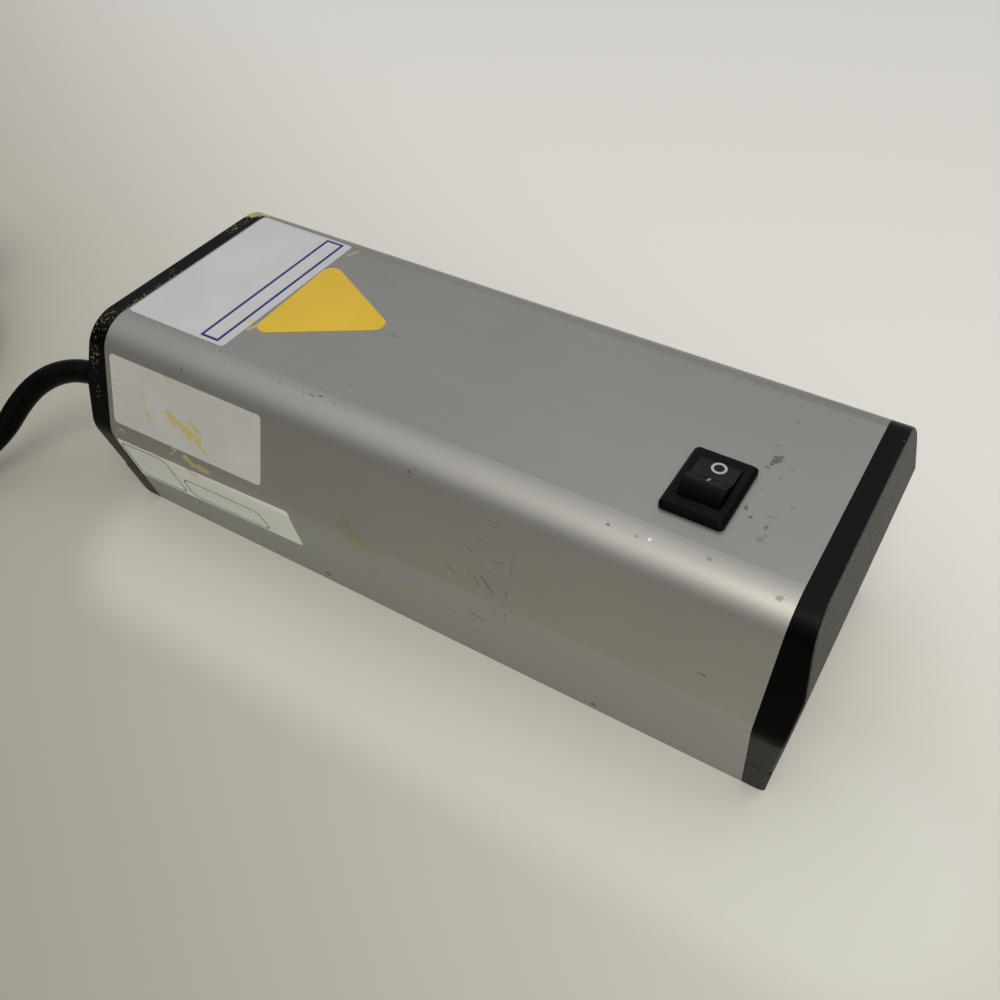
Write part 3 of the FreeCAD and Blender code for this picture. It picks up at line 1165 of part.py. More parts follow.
def switch_leads():
    """Insulated wires from the switch terminals along the housing to the terminal block."""
    start = BODY_HEIGHT - SWITCH_BODY_DEPTH - TERMINAL_LENGTH
    mouth = CHASSIS_TOP + BLOCK_BORE_HEIGHT
    face = BLOCK_X + BLOCK_DEPTH / 2
    lane = -CORE_WIDTH / 2 - LEAD_LANE
    deep = start - LEAD_DROP
    wires = []
    for i, y in enumerate(terminal_places()):
        side = lane - LEAD_SPACING * (1 - i)
        route = [
            (SWITCH_X, y, start),
            (SWITCH_X, y, deep),
            (SWITCH_X - LEAD_TURN, (y + side) / 2, deep - LEAD_DROP * 0.45),
            (SWITCH_X - LEAD_RUN_IN, side, deep),
            (BALLAST_X + LEAD_TURN, side + LEAD_SPACING * 0.15, deep + LEAD_DROP * 0.3),
            (BALLAST_X - LEAD_RUN_IN, side - LEAD_SPACING * 0.1, deep),
            (face + LEAD_ENTRY, pole_y(i - 0.5) - LEAD_SPACING * 0.15, mouth + LEAD_SPACING * 0.15),
            (face - LEAD_SPACING, pole_y(i), mouth),
        ]
        wires.append(tube_path(route, LEAD_RADIUS, "switch lead"))
    return Part.makeCompound(wires)


def export(name, shape):
    for solid in shape.Solids:
        if not solid.isValid() or solid.Volume <= 0:
            print("bad solid in", name)
    shape.exportStep("parts/" + name + ".step")
    print(name, len(shape.Solids), round(shape.Volume, 1))


os.makedirs("parts", exist_ok=True)
SKIN = cap_skin()
NODES = {
    "housing": housing(),
    "end_cap_switch": end_cap(SKIN),
    "end_cap_cord": cord_end_cap(SKIN),
    "end_cap_screws": cap_screws(),
    "filter_frame": filter_frame(),
    "filter_frame_screws": frame_screws(),
    "filter_gasket": filter_gasket(),
    "filter_glass": filter_glass(),
    "filter_clips": filter_clips(),
    "reflector": reflector(),
    "reflector_rivets": reflector_rivets(),
    "tube_glass": tube_glass(),
    "tube_end_shells": tube_caps(),
    "tube_pins": tube_pins(),
    "lamp_holder_switch_end": lamp_holder(),
    "lamp_holder_cord_end": mirrored_x(lamp_holder()),
    "lamp_holder_screws": holder_screws(),
    "chassis_plate": chassis_plate(),
    "ballast_core": ballast_core(),
    "ballast_winding": ballast_winding(),
    "ballast_bracket": ballast_bracket(),
    "ballast_screws": ballast_screws(),
    "starter_socket": starter_socket(),
    "starter_can": starter_can(),
    "starter_studs": starter_studs(),
    "terminal_block": terminal_block(),
    "terminal_screws": terminal_screws(),
    "switch_body": switch_body(),
    "switch_rocker": rocker(),
    "switch_plunger": plunger(),
    "switch_blade": contact_blade(),
    "switch_terminals": switch_terminals(),
    "strain_relief": strain_relief(),
    "cord_inner": cord_inner(),
    "cord_clamp": cord_clamp(),
    "cord_cores": cord_cores(),
    "switch_leads": switch_leads(),
    "cord_lead": tube_path(lead_route(), CORD_RADIUS, "cord lead"),
    "cord_coil": cord_coil(),
    "cord_tail": tube_path(tail_route(), CORD_RADIUS, "cord tail"),
    "cord_tie": cord_tie(),
    "plug_cover": plug_cover(),
    "plug_base": plug_base(),
    "plug_screw": plug_screw(),
    "plug_pins": plug_pins(),
}
for node, solids in NODES.items():
    export(node, solids)
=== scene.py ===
import bpy
import bmesh
import math
from mathutils import Matrix, Vector


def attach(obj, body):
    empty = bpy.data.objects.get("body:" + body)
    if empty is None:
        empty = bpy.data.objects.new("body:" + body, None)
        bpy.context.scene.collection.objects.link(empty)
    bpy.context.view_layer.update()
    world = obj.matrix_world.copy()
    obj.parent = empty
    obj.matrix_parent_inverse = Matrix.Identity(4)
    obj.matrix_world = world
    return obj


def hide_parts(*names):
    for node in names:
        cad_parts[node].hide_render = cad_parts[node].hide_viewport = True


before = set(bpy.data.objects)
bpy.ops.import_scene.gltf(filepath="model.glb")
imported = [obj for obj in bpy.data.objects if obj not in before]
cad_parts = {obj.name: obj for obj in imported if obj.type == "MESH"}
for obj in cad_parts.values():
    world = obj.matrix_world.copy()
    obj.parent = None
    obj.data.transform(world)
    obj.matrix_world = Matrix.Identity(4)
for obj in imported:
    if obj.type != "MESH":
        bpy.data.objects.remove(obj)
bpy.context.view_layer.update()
scene = bpy.context.scene

# The photograph's camera
CAMERA_SENSOR = 36.0
CAMERA_LENS = 36.4085
CAMERA_PLACE = Vector((0.110779, -0.165975, 0.215803))
CAMERA_RIGHT = Vector((0.85442355, 0.51929929, -0.01698943))
CAMERA_DOWN = Vector((0.35819028, -0.61240104, -0.70474442))
CAMERA_AHEAD = Vector((-0.37637762, 0.59606478, -0.70925783))

# Housing profile, in millimetres as in the part's source
BODY_HEIGHT = 62.5
TOP_HALF_WIDTH = 34.7
RIDGE_HALF_WIDTH = 43.4
RIDGE_HEIGHT = 32.2
BOTTOM_HALF_WIDTH = 35.5
CORNER_RADIUS = 10.0
RIDGE_RADIUS = 9.0

# Labels, in millimetres: corners as (x, girth), girth from the top's middle line to the near side
LABEL_THICKNESS = 0.12
LABEL_CORNER = 1.2
LABEL_STRIP = 1.2
LABEL_TOP = [(-92.8, -29.3), (-92.8, 26.1), (-59.8, 26.0), (-59.8, -28.8)]
LABEL_SIDE = [(-91.6, 39.6), (-39.5, 39.3), (-39.4, 59.3), (-91.5, 59.9)]
LABEL_LOW = [(-93.1, 66.4), (-30.4, 63.5), (-31.5, 80.4), (-93.2, 84.3)]
TRIANGLE_CENTRE = Vector((-48.1, -1.0))
TRIANGLE_REACH = 21.8
TRIANGLE_ANGLES = (-122, -2, 118)
TRIANGLE_CORNER = 3.0

# Printed rules on the labels
MARK_THICKNESS = 0.03
TOP_RULE = [(-68.4, -28.0), (-68.4, 24.9), (-62.3, 24.9), (-62.3, -28.0)]
TOP_RULE_CORNER = 0.3
TOP_RULE_WIDTH = 0.8
LOW_RULES = [
    [(-92.2, 67.4), (-74.8, 66.4), (-73.8, 82.2), (-92.2, 83.3)],
    [(-72.0, 73.2), (-44.0, 71.6), (-41.8, 80.2), (-71.4, 81.9)],
]
LOW_RULE_CORNER = 2.4
LOW_RULE_WIDTH = 0.36
SMALLEST_CORNER = 0.15

# Rocker marks, in millimetres from the rocker's valley
ROCKER_X = 66.5
ROCKER_FLAT_HEIGHT = 65.22
ROCKER_VALLEY_Y = -10.83
ROCKER_SLOPE = 30.0
RING_X = ROCKER_X + 0.2
RING_AWAY = 3.45
RING_OUTER_RADIUS = 1.78
RING_INNER_RADIUS = 1.18
BAR_HALF_WIDTH = 0.2
BAR_NEAR_END = 1.1
BAR_FAR_END = 4.0

# Cord, in millimetres as in the part's source
CORD_RADIUS = 3.5
LEAD = [(-104, -28, 34.5), (-116.6, -28, 34.5), (-128, -32.6, 32.4), (-136.1, -39.6, 25.9),
        (-140.2, -51.2, 14.4), (-149, -66, 7.4), (-163.5, -80.5, 3.8), (-186, -91.0, 3.7),
        (-207, -93.2, 3.7)]
TAIL = [(-198.5, -80.2, 22.2), (-212, -89.6, 24.6), (-227.6, -90.4, 26.6), (-241.6, -83.4, 28.2),
        (-248.4, -71.2, 29.9), (-248.6, -57, 30.2)]
COIL_CENTRE = (-228.0, -48.0)
COIL_LANES = [(42.75, 0), (35.5, 0), (28.25, 0), (31.9, 6.3), (39.1, 6.3), (35.5, 12.6), (42.75, 12.6)]
COIL_STEPS = 18
COIL_FLOOR = 3.65
COIL_START = -80
LANE_CHANGE_START = 0.80
LANE_CHANGE_SHARE = 0.19
TIE_LIFT = 1.1
TIE_NARROWNESS = 6

# Wear: spots as (centre, half sizes) and strokes as (start, end, half width), in millimetres
CHIPS = [
    ((74.9, 1.2, 62.5), (0.45, 0.3, 1.5)), ((75.3, 2.6, 62.5), (0.45, 0.55, 1.5)),
    ((75.6, 4.0, 62.5), (0.8, 0.7, 1.5)), ((76.0, 5.1, 62.5), (0.9, 0.6, 1.5)),
    ((76.3, 5.8, 62.5), (0.6, 0.35, 1.5)), ((75.3, 5.1, 62.5), (0.4, 0.35, 1.5)),
    ((76.5, 4.2, 62.5), (0.45, 0.5, 1.5)), ((75.4, -12.9, 62.5), (0.45, 0.7, 1.5)),
    ((77.2, -15.0, 62.5), (0.4, 0.4, 1.5)), ((81.1, -16.3, 62.5), (0.32, 0.55, 1.5)),
    ((52.3, -31.2, 61.6), (0.4, 0.25, 1.2)), ((-66.4, -35.0, 59.5), (0.3, 0.3, 2.0)),
    ((-38.1, -29.4, 62.3), (0.25, 0.2, 1.2)), ((-30.5, -29.5, 62.3), (0.3, 0.16, 1.2)),
    ((-28.2, -29.4, 62.3), (0.9, 0.2, 1.2)), ((-25.9, -28.8, 62.4), (0.6, 0.25, 1.2)),
    ((-22.4, -21.9, 62.5), (0.4, 0.16, 1.2)), ((-41.8, 19.6, 62.5), (0.28, 0.2, 1.5)),
    ((-38.1, 17.9, 62.5), (0.28, 0.2, 1.5)), ((28.2, -37.3, 53.5), (0.3, 1.0, 0.3)),
    ((4.2, -36.0, 57.6), (0.5, 1.0, 0.4)), ((52.9, -41.6, 24.9), (0.25, 1.0, 0.25)),
]
FAINT_CHIPS = [
    ((74.4, 9.1, 62.5), (0.55, 0.35, 1.5)), ((79.6, 3.0, 62.5), (0.9, 0.3, 1.5)),
    ((78.6, -0.8, 62.5), (0.25, 0.55, 1.5)), ((76.0, -5.8, 62.5), (0.35, 0.3, 1.5)),
    ((81.0, -12.8, 62.5), (1.1, 0.28, 1.5)), ((81.1, -20.0, 62.5), (0.75, 0.6, 1.5)),
    ((81.9, -18.6, 62.5), (0.45, 0.4, 1.5)), ((83.7, -7.7, 62.5), (0.7, 0.28, 1.5)),
    ((75.7, 18.8, 62.5), (0.3, 0.7, 1.5)), ((85.6, 25.7, 62.5), (0.4, 0.4, 1.5)),
    ((74.4, -29.8, 62.5), (0.6, 0.4, 1.5)), ((90.0, -31.8, 61.5), (0.7, 0.5, 1.2)),
    ((58.9, -31.2, 61.8), (0.4, 0.3, 1.2)), ((82.8, -36.4, 56.5), (0.6, 1.0, 0.5)),
    ((-59.1, -27.6, 62.5), (0.5, 0.18, 1.2)), ((-57.2, -27.0, 62.5), (0.45, 0.18, 1.2)),
    ((-55.5, -30.4, 62.3), (0.18, 0.6, 1.2)), ((-21.4, -29.3, 62.3), (0.3, 0.3, 1.2)),
    ((-18.1, -29.4, 62.3), (0.3, 0.4, 1.2)), ((2.0, -35.9, 58.2), (0.9, 1.0, 0.7)),
    ((5.6, -35.7, 58.6), (0.7, 1.0, 0.6)), ((-25.0, 0.0, 62.5), (2.6, 0.8, 1.5)),
    ((80.0, 30.6, 62.0), (11.0, 0.5, 1.5)), ((93.0, 28.5, 62.2), (3.5, 0.3, 1.5)),
    ((24.8, -38.6, 49.0), (0.5, 1.0, 0.4)), ((-14.8, -42.3, 36.1), (0.35, 1.0, 0.3)),
]
WHITE_DOTS = [((61.6, -30.7, 61.8), (0.3, 0.3, 1.0))]
SMEARS = [
    ((-12.7, -42.0, 37.1), (-9.6, -42.9, 34.1), 1.7), ((-9.6, -42.9, 34.1), (-3.0, -43.2, 31.6), 1.9),
    ((-3.0, -43.2, 31.6), (1.0, -42.5, 28.5), 0.6), ((-8.9, -40.6, 20.9), (-0.8, -40.5, 20.3), 0.4),
    ((-0.8, -40.5, 20.3), (8.8, -40.7, 21.1), 1.2), ((8.8, -40.7, 21.1), (13.7, -40.5, 20.2), 1.2),
    ((13.7, -40.5, 20.2), (19.0, -40.3, 19.6), 0.3), ((-19.6, -43.0, 33.0), (-17.1, -43.0, 30.8), 0.6),
    ((-14.8, -43.2, 32.2), (-12.2, -42.9, 30.2), 0.4),
]
SCRATCHES = [
    ((21.7, -39.5, 45.8), (32.8, -41.3, 39.4), 0.12), ((33.6, -38.7, 48.6), (33.8, -40.2, 43.4), 0.16),
    ((33.4, -41.6, 38.6), (33.6, -42.0, 37.1), 0.3), ((33.4, -42.6, 34.9), (33.6, -43.0, 31.5), 0.2),
    ((34.0, -43.1, 30.8), (33.0, -40.4, 19.8), 0.07), ((22.7, -41.1, 40.4), (26.5, -42.0, 37.2), 0.14),
    ((26.4, -41.2, 39.7), (29.9, -42.0, 37.0), 0.28), ((15.9, -41.3, 39.4), (22.7, -42.3, 35.9), 0.14),
    ((23.1, -41.6, 24.7), (29.8, -41.5, 24.6), 0.24), ((27.5, -39.8, 44.6), (31.4, -39.6, 45.3), 0.1),
    ((-36.7, -36.6, 4.6), (-35.6, -36.1, 2.2), 0.2), ((16.7, -38.0, 10.1), (22.7, -39.0, 14.3), 0.1),
    ((30.0, -43.0, 32.7), (31.0, -43.1, 32.6), 0.2), ((79.5, -41.1, 40.3), (81.2, -41.1, 40.3), 0.18),
    ((-6.0, -42.2, 28.2), (-1.5, -42.6, 27.0), 0.1), ((12.5, -40.6, 20.6), (18.5, -40.4, 19.8), 0.14),
    ((-7.5, -40.7, 21.2), (-3.8, -40.6, 20.7), 0.16),
]
RED_DOTS = [((-27.6, -36.5, 4.1), (0.75, 2.0, 1.05)), ((54.6, -36.3, 3.2), (0.85, 2.0, 0.7))]
YELLOW_PAINT = [
    ((-65.6, -42.4, 35.0), (-62.7, -42.9, 33.7), 0.75),
    ((-61.1, -42.8, 34.0), (-57.9, -42.9, 33.6), 0.75),
    ((-70.2, -41.9, 37.4), (-69.7, -42.3, 36.1), 0.5),
    ((-71.0, -42.8, 33.9), (-68.8, -42.4, 35.8), 0.2),
    ((-90.7, -42.9, 33.5), (-89.3, -42.7, 34.7), 0.2),
    ((-89.3, -42.7, 34.7), (-88.2, -42.8, 33.9), 0.2),
    ((-78.9, -43.1, 31.4), (-75.4, -43.0, 30.8), 0.3),
    ((-69.9, -43.2, 32.0), (-67.3, -43.1, 32.6), 0.25),
    ((-65.6, -42.9, 30.2), (-63.1, -42.9, 30.1), 0.6),
    ((-80.6, -36.3, 57.1), (-66.1, -36.2, 57.3), 0.2),
    ((-59.2, -16.8, 62.5), (-57.6, -12.5, 62.5), 0.5), ((-58.2, 24.5, 62.5), (-57.0, 28.0, 62.5), 0.3),
    ((-98.6, 27.5, 62.0), (-98.4, 33.5, 60.5), 1.3), ((-98.0, 33.4, 60.5), (-89.0, 35.2, 59.5), 2.4),
    ((-97.2, 29.0, 62.3), (-94.4, 32.0, 61.5), 1.8),
]
PAPER_STAINS = [
    ((-71.2, -39.5, 45.7), (-69.2, -40.1, 43.6), 0.8),
    ((-69.9, -39.6, 45.6), (-66.0, -40.2, 43.4), 0.7),
    ((-67.1, -39.9, 44.3), (-63.2, -40.6, 41.8), 0.8),
    ((-65.1, -40.1, 43.7), (-60.4, -40.6, 41.9), 0.9),
    ((-63.0, -39.6, 45.5), (-60.7, -40.0, 44.1), 0.6),
    ((-61.2, -40.7, 41.6), (-59.7, -41.2, 39.9), 0.7),
    ((-60.0, -41.1, 40.0), (-57.7, -41.5, 38.8), 0.5),
    ((-79.2, -40.1, 43.7), (-78.1, -40.8, 41.4), 0.4),
    ((-80.0, -39.2, 47.0), (-79.6, -39.3, 46.4), 0.35),
    ((-82.1, -37.1, 54.1), (-77.6, -37.0, 54.3), 0.18),
    ((-79.4, -37.1, 54.2), (-80.2, -37.8, 51.7), 0.1),
    ((-71.8, -36.6, 55.8), (-69.3, -36.7, 55.6), 0.25),
    ((-70.2, -36.7, 55.4), (-70.7, -37.2, 54.0), 0.25),
    ((-91.2, -38.8, 48.1), (-90.1, -38.8, 48.3), 0.25),
    ((-91.1, -39.8, 44.6), (-90.3, -39.9, 44.4), 0.3),
    ((-65.4, -36.9, 54.8), (-63.0, -36.9, 55.0), 0.25),
    ((-65.6, -42.9, 31.0), (-63.1, -42.9, 30.1), 0.7),
    ((-62.5, -14.8, 62.5), (-60.0, -13.6, 62.5), 0.5),
]
PAPER_CREASES = [
    ((-43.7, -41.6, 38.2), (-44.4, -40.6, 41.5), 0.12),
    ((-44.4, -40.6, 41.5), (-43.0, -39.7, 44.9), 0.12),
    ((-43.0, -39.7, 44.9), (-39.8, -39.4, 46.2), 0.12),
]
FLECKED = [
    ((-96.8, -31.0, 61.0), (2.6, 3.6, 3.0)), ((-97.5, -36.8, 52.5), (1.6, 2.6, 4.5)),
    ((-94.1, -16.0, 62.4), (0.6, 14.0, 1.5)), ((-96.0, -6.5, 62.4), (0.9, 1.6, 1.5)),
    ((-97.2, -40.3, 42.5), (1.0, 1.6, 2.2)), ((-96.5, 20.0, 62.4), (1.4, 5.0, 1.5)),
    ((-97.8, -33.5, 59.0), (1.2, 3.0, 3.0)), ((98.0, 24.5, 62.4), (0.3, 0.3, 0.8)),
]

# Floor: dim and bright colour of a painted light gradient, the way it brightens, and a painted glow of
# reflected light in front of the lamp
FLOOR_COLOUR = (0.288, 0.272, 0.22, 1)
FLOOR_SECOND = (0.722, 0.712, 0.685, 1)
FLOOR_PAINTED_GLOW = (0.68, 0.7, 0.66, 1)
FLOOR_WAY = (0.42, 0.91, 0)
FLOOR_REACH = (-0.22, 0.16)
FLOOR_PATCH = [((-70, -44, 0), (120, -44, 0), 30.0)]
FLOOR_PATCH_SHARE = 0.42
FLOOR_HALF_SIZE = 6.0

# Sky: where it is brightest, its colours, and its strength in front, behind and overhead
SKY_WAY = (0.2, -0.25, 0.95)
SKY_COOL = (0.94, 0.985, 1.0, 1)
SKY_WARM = (1.0, 0.985, 0.96, 1)
SKY_FRONT = 0.1
SKY_BACK = 0.36
SKY_OVERHEAD = 0.88

# The lamp overhead
LAMP_PLACE = Vector((0.35, -0.6, 1.1))
LAMP_SIZE = 0.7
LAMP_POWER = 6.4
LAMP_COLOUR = (1.0, 0.93, 0.8)

# Colours of the housing and its marks
METAL_DIM = (0.365, 0.361, 0.343, 1)
METAL_BRIGHT = (0.392, 0.387, 0.368, 1)
# Painted shade: the metal colour given to faces turned downward
METAL_PAINTED_SHADE = (0.27, 0.272, 0.255, 1)
SMEAR_COLOUR = (0.365, 0.342, 0.255, 1)
KNOCK_COLOUR = (0.07, 0.065, 0.055, 1)
RED_COLOUR = (0.27, 0.035, 0.025, 1)
WHITE_COLOUR = (0.8, 0.8, 0.78, 1)
PAINT_COLOUR = (0.5, 0.43, 0.08, 1)

# Colours of the caps, the switch and the labels' stains
CAP_BLACK = (0.0012, 0.0012, 0.0012, 1)
# Painted sheen: lighter bluish black for the cap's upward faces
CAP_UPWARD_SHEEN = (0.0062, 0.0066, 0.0074, 1)
CAP_FACE_DIM = (0.05, 0.05, 0.045, 1)
CAP_FACE_BRIGHT = (0.112, 0.112, 0.104, 1)
CAP_PAINT_COLOUR = (0.44, 0.42, 0.18, 1)
FLECK_COLOUR = (0.2, 0.195, 0.12, 1)
SWITCH_BLACK = (0.001, 0.001, 0.0011, 1)
# Painted sheen: lighter bluish colours for the upward faces of the switch body and the rocker
SWITCH_UPWARD_SHEEN = (0.0065, 0.0068, 0.0078, 1)
ROCKER_UPWARD_SHEEN = (0.018, 0.0195, 0.0225, 1)
STAIN_COLOUR = (0.5, 0.4, 0.07, 1)
# Painted shade along the paper's crease
CREASE_SHADE_COLOUR = (0.15, 0.15, 0.13, 1)

# Plain finishes: name, first and second colour, metallic, roughness and its spread, grain, and what differs
PLAIN_FINISHES = [
    ("zinc_plate", (0.5, 0.49, 0.44), (0.6, 0.58, 0.5), 1.0, 0.3, 0.08, 900.0, {}),
    ("foam_rubber", (0.012, 0.012, 0.013), (0.03, 0.03, 0.03), 0.0, 0.85, 0.08, 1500.0, {"relief": 0.5}),
    ("spring_steel", (0.36, 0.35, 0.34), (0.46, 0.45, 0.43), 1.0, 0.32, 0.08, 700.0, {"stretch": (1, 6, 1)}),
    ("bright_aluminium", (0.82, 0.83, 0.84), (0.9, 0.9, 0.9), 1.0, 0.12, 0.05, 500.0,
     {"stretch": (0.2, 3, 1), "relief": 0.08}),
    ("tube_shell", (0.6, 0.61, 0.62), (0.72, 0.72, 0.72), 1.0, 0.28, 0.06, 900.0, {}),
    ("brass", (0.62, 0.46, 0.2), (0.72, 0.56, 0.28), 1.0, 0.25, 0.07, 900.0, {}),
    ("white_moulding", (0.62, 0.61, 0.57), (0.7, 0.69, 0.66), 0.0, 0.42, 0.08, 1400.0,
     {"relief": 0.1, "coat": 0.05}),
    ("sheet_steel", (0.45, 0.45, 0.44), (0.56, 0.56, 0.55), 1.0, 0.38, 0.1, 600.0, {"stretch": (0.3, 3, 1)}),
    ("core_iron", (0.09, 0.088, 0.085), (0.15, 0.145, 0.14), 0.8, 0.5, 0.1, 800.0,
     {"stretch": (8, 0.4, 0.4), "relief": 0.6}),
    ("winding_tape", (0.55, 0.42, 0.12), (0.66, 0.52, 0.2), 0.0, 0.4, 0.1, 700.0, {}),
    ("cord_pvc", (0.0015, 0.0015, 0.0015), (0.003, 0.003, 0.003), 0.0, 0.24, 0.05, 900.0,
     {"relief": 0.06, "edge": 0.0, "specular": 0.05}),
    ("woven_strap", (0.016, 0.016, 0.018), (0.035, 0.035, 0.038), 0.0, 0.75, 0.1, 1900.0,
     {"stretch": (1, 2.5, 1), "relief": 0.7, "depth": 0.0002}),
    ("plug_plastic", (0.006, 0.006, 0.0065), (0.01, 0.01, 0.0105), 0.0, 0.36, 0.08, 1300.0,
     {"edge": 0.0004, "specular": 0.1}),
    ("core_insulation", (0.14, 0.045, 0.02), (0.2, 0.07, 0.03), 0.0, 0.35, 0.06, 900.0, {}),
    ("grey_moulding", (0.2, 0.2, 0.2), (0.26, 0.26, 0.26), 0.0, 0.45, 0.08, 1300.0, {}),
]

# Solids of the part by their finish
SOLIDS = {
    "anodised_aluminium": ["housing"],
    "cap_plastic": ["end_cap_switch", "end_cap_cord", "filter_frame"],
    "zinc_plate": ["end_cap_screws", "filter_frame_screws", "lamp_holder_screws", "ballast_screws",
                   "terminal_screws", "plug_screw"],
    "foam_rubber": ["filter_gasket"],
    "filter_glass": ["filter_glass"],
    "spring_steel": ["filter_clips"],
    "bright_aluminium": ["reflector", "reflector_rivets"],
    "tube_glass": ["tube_glass"],
    "tube_shell": ["tube_end_shells"],
    "brass": ["tube_pins", "starter_studs", "switch_blade", "switch_terminals", "plug_pins"],
    "white_moulding": ["lamp_holder_switch_end", "lamp_holder_cord_end", "starter_socket", "starter_can",
                       "terminal_block"],
    "sheet_steel": ["chassis_plate", "ballast_bracket"],
    "core_iron": ["ballast_core"],
    "winding_tape": ["ballast_winding"],
    "switch_plastic": ["switch_body"],
    "rocker_plastic": ["switch_rocker", "switch_plunger"],
    "cord_pvc": ["strain_relief", "cord_inner"],
    "woven_strap": ["cord_tie"],
    "plug_plastic": ["plug_cover", "plug_base"],
    "core_insulation": ["cord_cores", "switch_leads"],
    "grey_moulding": ["cord_clamp"],
}


def add_camera():
    data = bpy.data.cameras.new("camera")
    data.sensor_width = CAMERA_SENSOR
    data.lens = CAMERA_LENS
    data.clip_start = 0.01
    camera = bpy.data.objects.new("camera", data)
    scene.collection.objects.link(camera)
    turn = Matrix((CAMERA_RIGHT, -CAMERA_DOWN, -CAMERA_AHEAD)).transposed().to_4x4()
    camera.matrix_world = Matrix.Translation(CAMERA_PLACE) @ turn
    scene.camera = camera


def smooth(x):
    """0 up to x = 0 and 1 from x = 1, with a soft change between them."""
    x = min(max(x, 0.0), 1.0)
    return x * x * (3 - 2 * x)


def coil_points():
    """Turns wound clockwise from above: inwards on the floor, then outwards in two rows on top."""
    points = []
    # The smooth line runs inside its points by this share
    inset = 0.75 + 0.25 * math.cos(2 * math.pi / COIL_STEPS)
    turns = len(COIL_LANES)
    for turn in range(turns):
        last = turn == turns - 1
        for step in range(COIL_STEPS):
            part = step / COIL_STEPS
            if last and part > LANE_CHANGE_START:
                break
            move = smooth((part - LANE_CHANGE_START) / LANE_CHANGE_SHARE)
            near = COIL_LANES[turn]
            far = COIL_LANES[min(turn + 1, turns - 1)]
            radius = (near[0] + (far[0] - near[0]) * move) / inset
            angle = math.radians(COIL_START) - 2 * math.pi * part
            lift = TIE_LIFT * max(0.0, math.cos(angle)) ** TIE_NARROWNESS
            height = COIL_FLOOR + lift + near[1] + (far[1] - near[1]) * move
            points.append((COIL_CENTRE[0] + radius * math.cos(angle),
                           COIL_CENTRE[1] + radius * math.sin(angle), height))
    return points


def add_cord():
    """Mains cord as one line; its thickness is in its points, which keeps its box tight."""
    route = LEAD + coil_points() + TAIL
    data = bpy.data.curves.new("cord", "CURVE")
    data.dimensions = "3D"
    spline = data.splines.new("NURBS")
    spline.points.add(len(route) - 1)
    for point, place in zip(spline.points, route):
        point.co = (place[0] / 1000, place[1] / 1000, place[2] / 1000, 1)
        point.radius = CORD_RADIUS / 1000
    spline.order_u = 3
    spline.use_endpoint_u = True
    spline.resolution_u = 8
    data.bevel_depth = 1.0
    data.bevel_resolution = 6
    data.use_fill_caps = True
    cord = bpy.data.objects.new("cord", data)
    scene.collection.objects.link(cord)
    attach(cord, "lamp")
    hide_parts("cord_lead", "cord_coil", "cord_tail")
    return cord


def add_node(tree, kind, **settings):
    node = tree.nodes.new(kind)
    for name, value in settings.items():
        setattr(node, name, value)
    return node


def feed(tree, value, socket):
    """Links a socket to another, or writes a plain value on it."""
    if isinstance(value, bpy.types.NodeSocket):
        tree.links.new(value, socket)
    else:
        socket.default_value = value


def maths(tree, operation, a, b=0.0):
    node = add_node(tree, "ShaderNodeMath", operation=operation)
    feed(tree, a, node.inputs[0])
    feed(tree, b, node.inputs[1])
    return node.outputs[0]


def vector_maths(tree, operation, a, b=(0, 0, 0)):
    node = add_node(tree, "ShaderNodeVectorMath", operation=operation)
    feed(tree, a, node.inputs[0])
    feed(tree, b, node.inputs[1])
    return node.outputs["Value" if operation in ("DOT_PRODUCT", "DISTANCE", "LENGTH") else "Vector"]


def span(tree, value, low, high, start=0.0, end=1.0, steep=False):
    """Number that goes from start to end while value goes from low to high, softly unless steep."""
    node = add_node(tree, "ShaderNodeMapRange")
    node.interpolation_type = "LINEAR" if steep else "SMOOTHSTEP"
    feed(tree, value, node.inputs[0])
    node.inputs[1].default_value = low
    node.inputs[2].default_value = high
    node.inputs[3].default_value = start
    node.inputs[4].default_value = end
    return node.outputs[0]


def blended(tree, share, a, b):
    node = add_node(tree, "ShaderNodeMix", data_type="RGBA")
    feed(tree, share, node.inputs["Factor"])
    feed(tree, a, node.inputs["A"])
    feed(tree, b, node.inputs["B"])
    return node.outputs["Result"]


def place_of(tree):
    return add_node(tree, "ShaderNodeTexCoord").outputs["Object"]


def facing(tree):
    """Which way the surface faces, as x, y and z."""
    split = add_node(tree, "ShaderNodeSeparateXYZ")
    tree.links.new(add_node(tree, "ShaderNodeTexCoord").outputs["Normal"], split.inputs[0])
    return split.outputs


def noise(tree, place, scale, detail=4.0, roughness=0.5):
    node = add_node(tree, "ShaderNodeTexNoise")
    tree.links.new(place, node.inputs["Vector"])
    node.inputs["Scale"].default_value = scale
    node.inputs["Detail"].default_value = detail
    node.inputs["Roughness"].default_value = roughness
    return node.outputs[0]


def spots(tree, place, marks, fray):
    """Share of spots: 1 inside each mark, given as (centre, half sizes) in millimetres."""
    total = None
    for centre, sizes in marks:
        away = vector_maths(tree, "SUBTRACT", place, Vector(centre) / 1000)
        scaled = vector_maths(tree, "MULTIPLY", away, [1000 / s for s in sizes])
        far = vector_maths(tree, "LENGTH", scaled)
        inside = span(tree, maths(tree, "ADD", far, fray), 0.85, 1.15, 1.0, 0.0)
        total = inside if total is None else maths(tree, "MAXIMUM", total, inside)
    return total


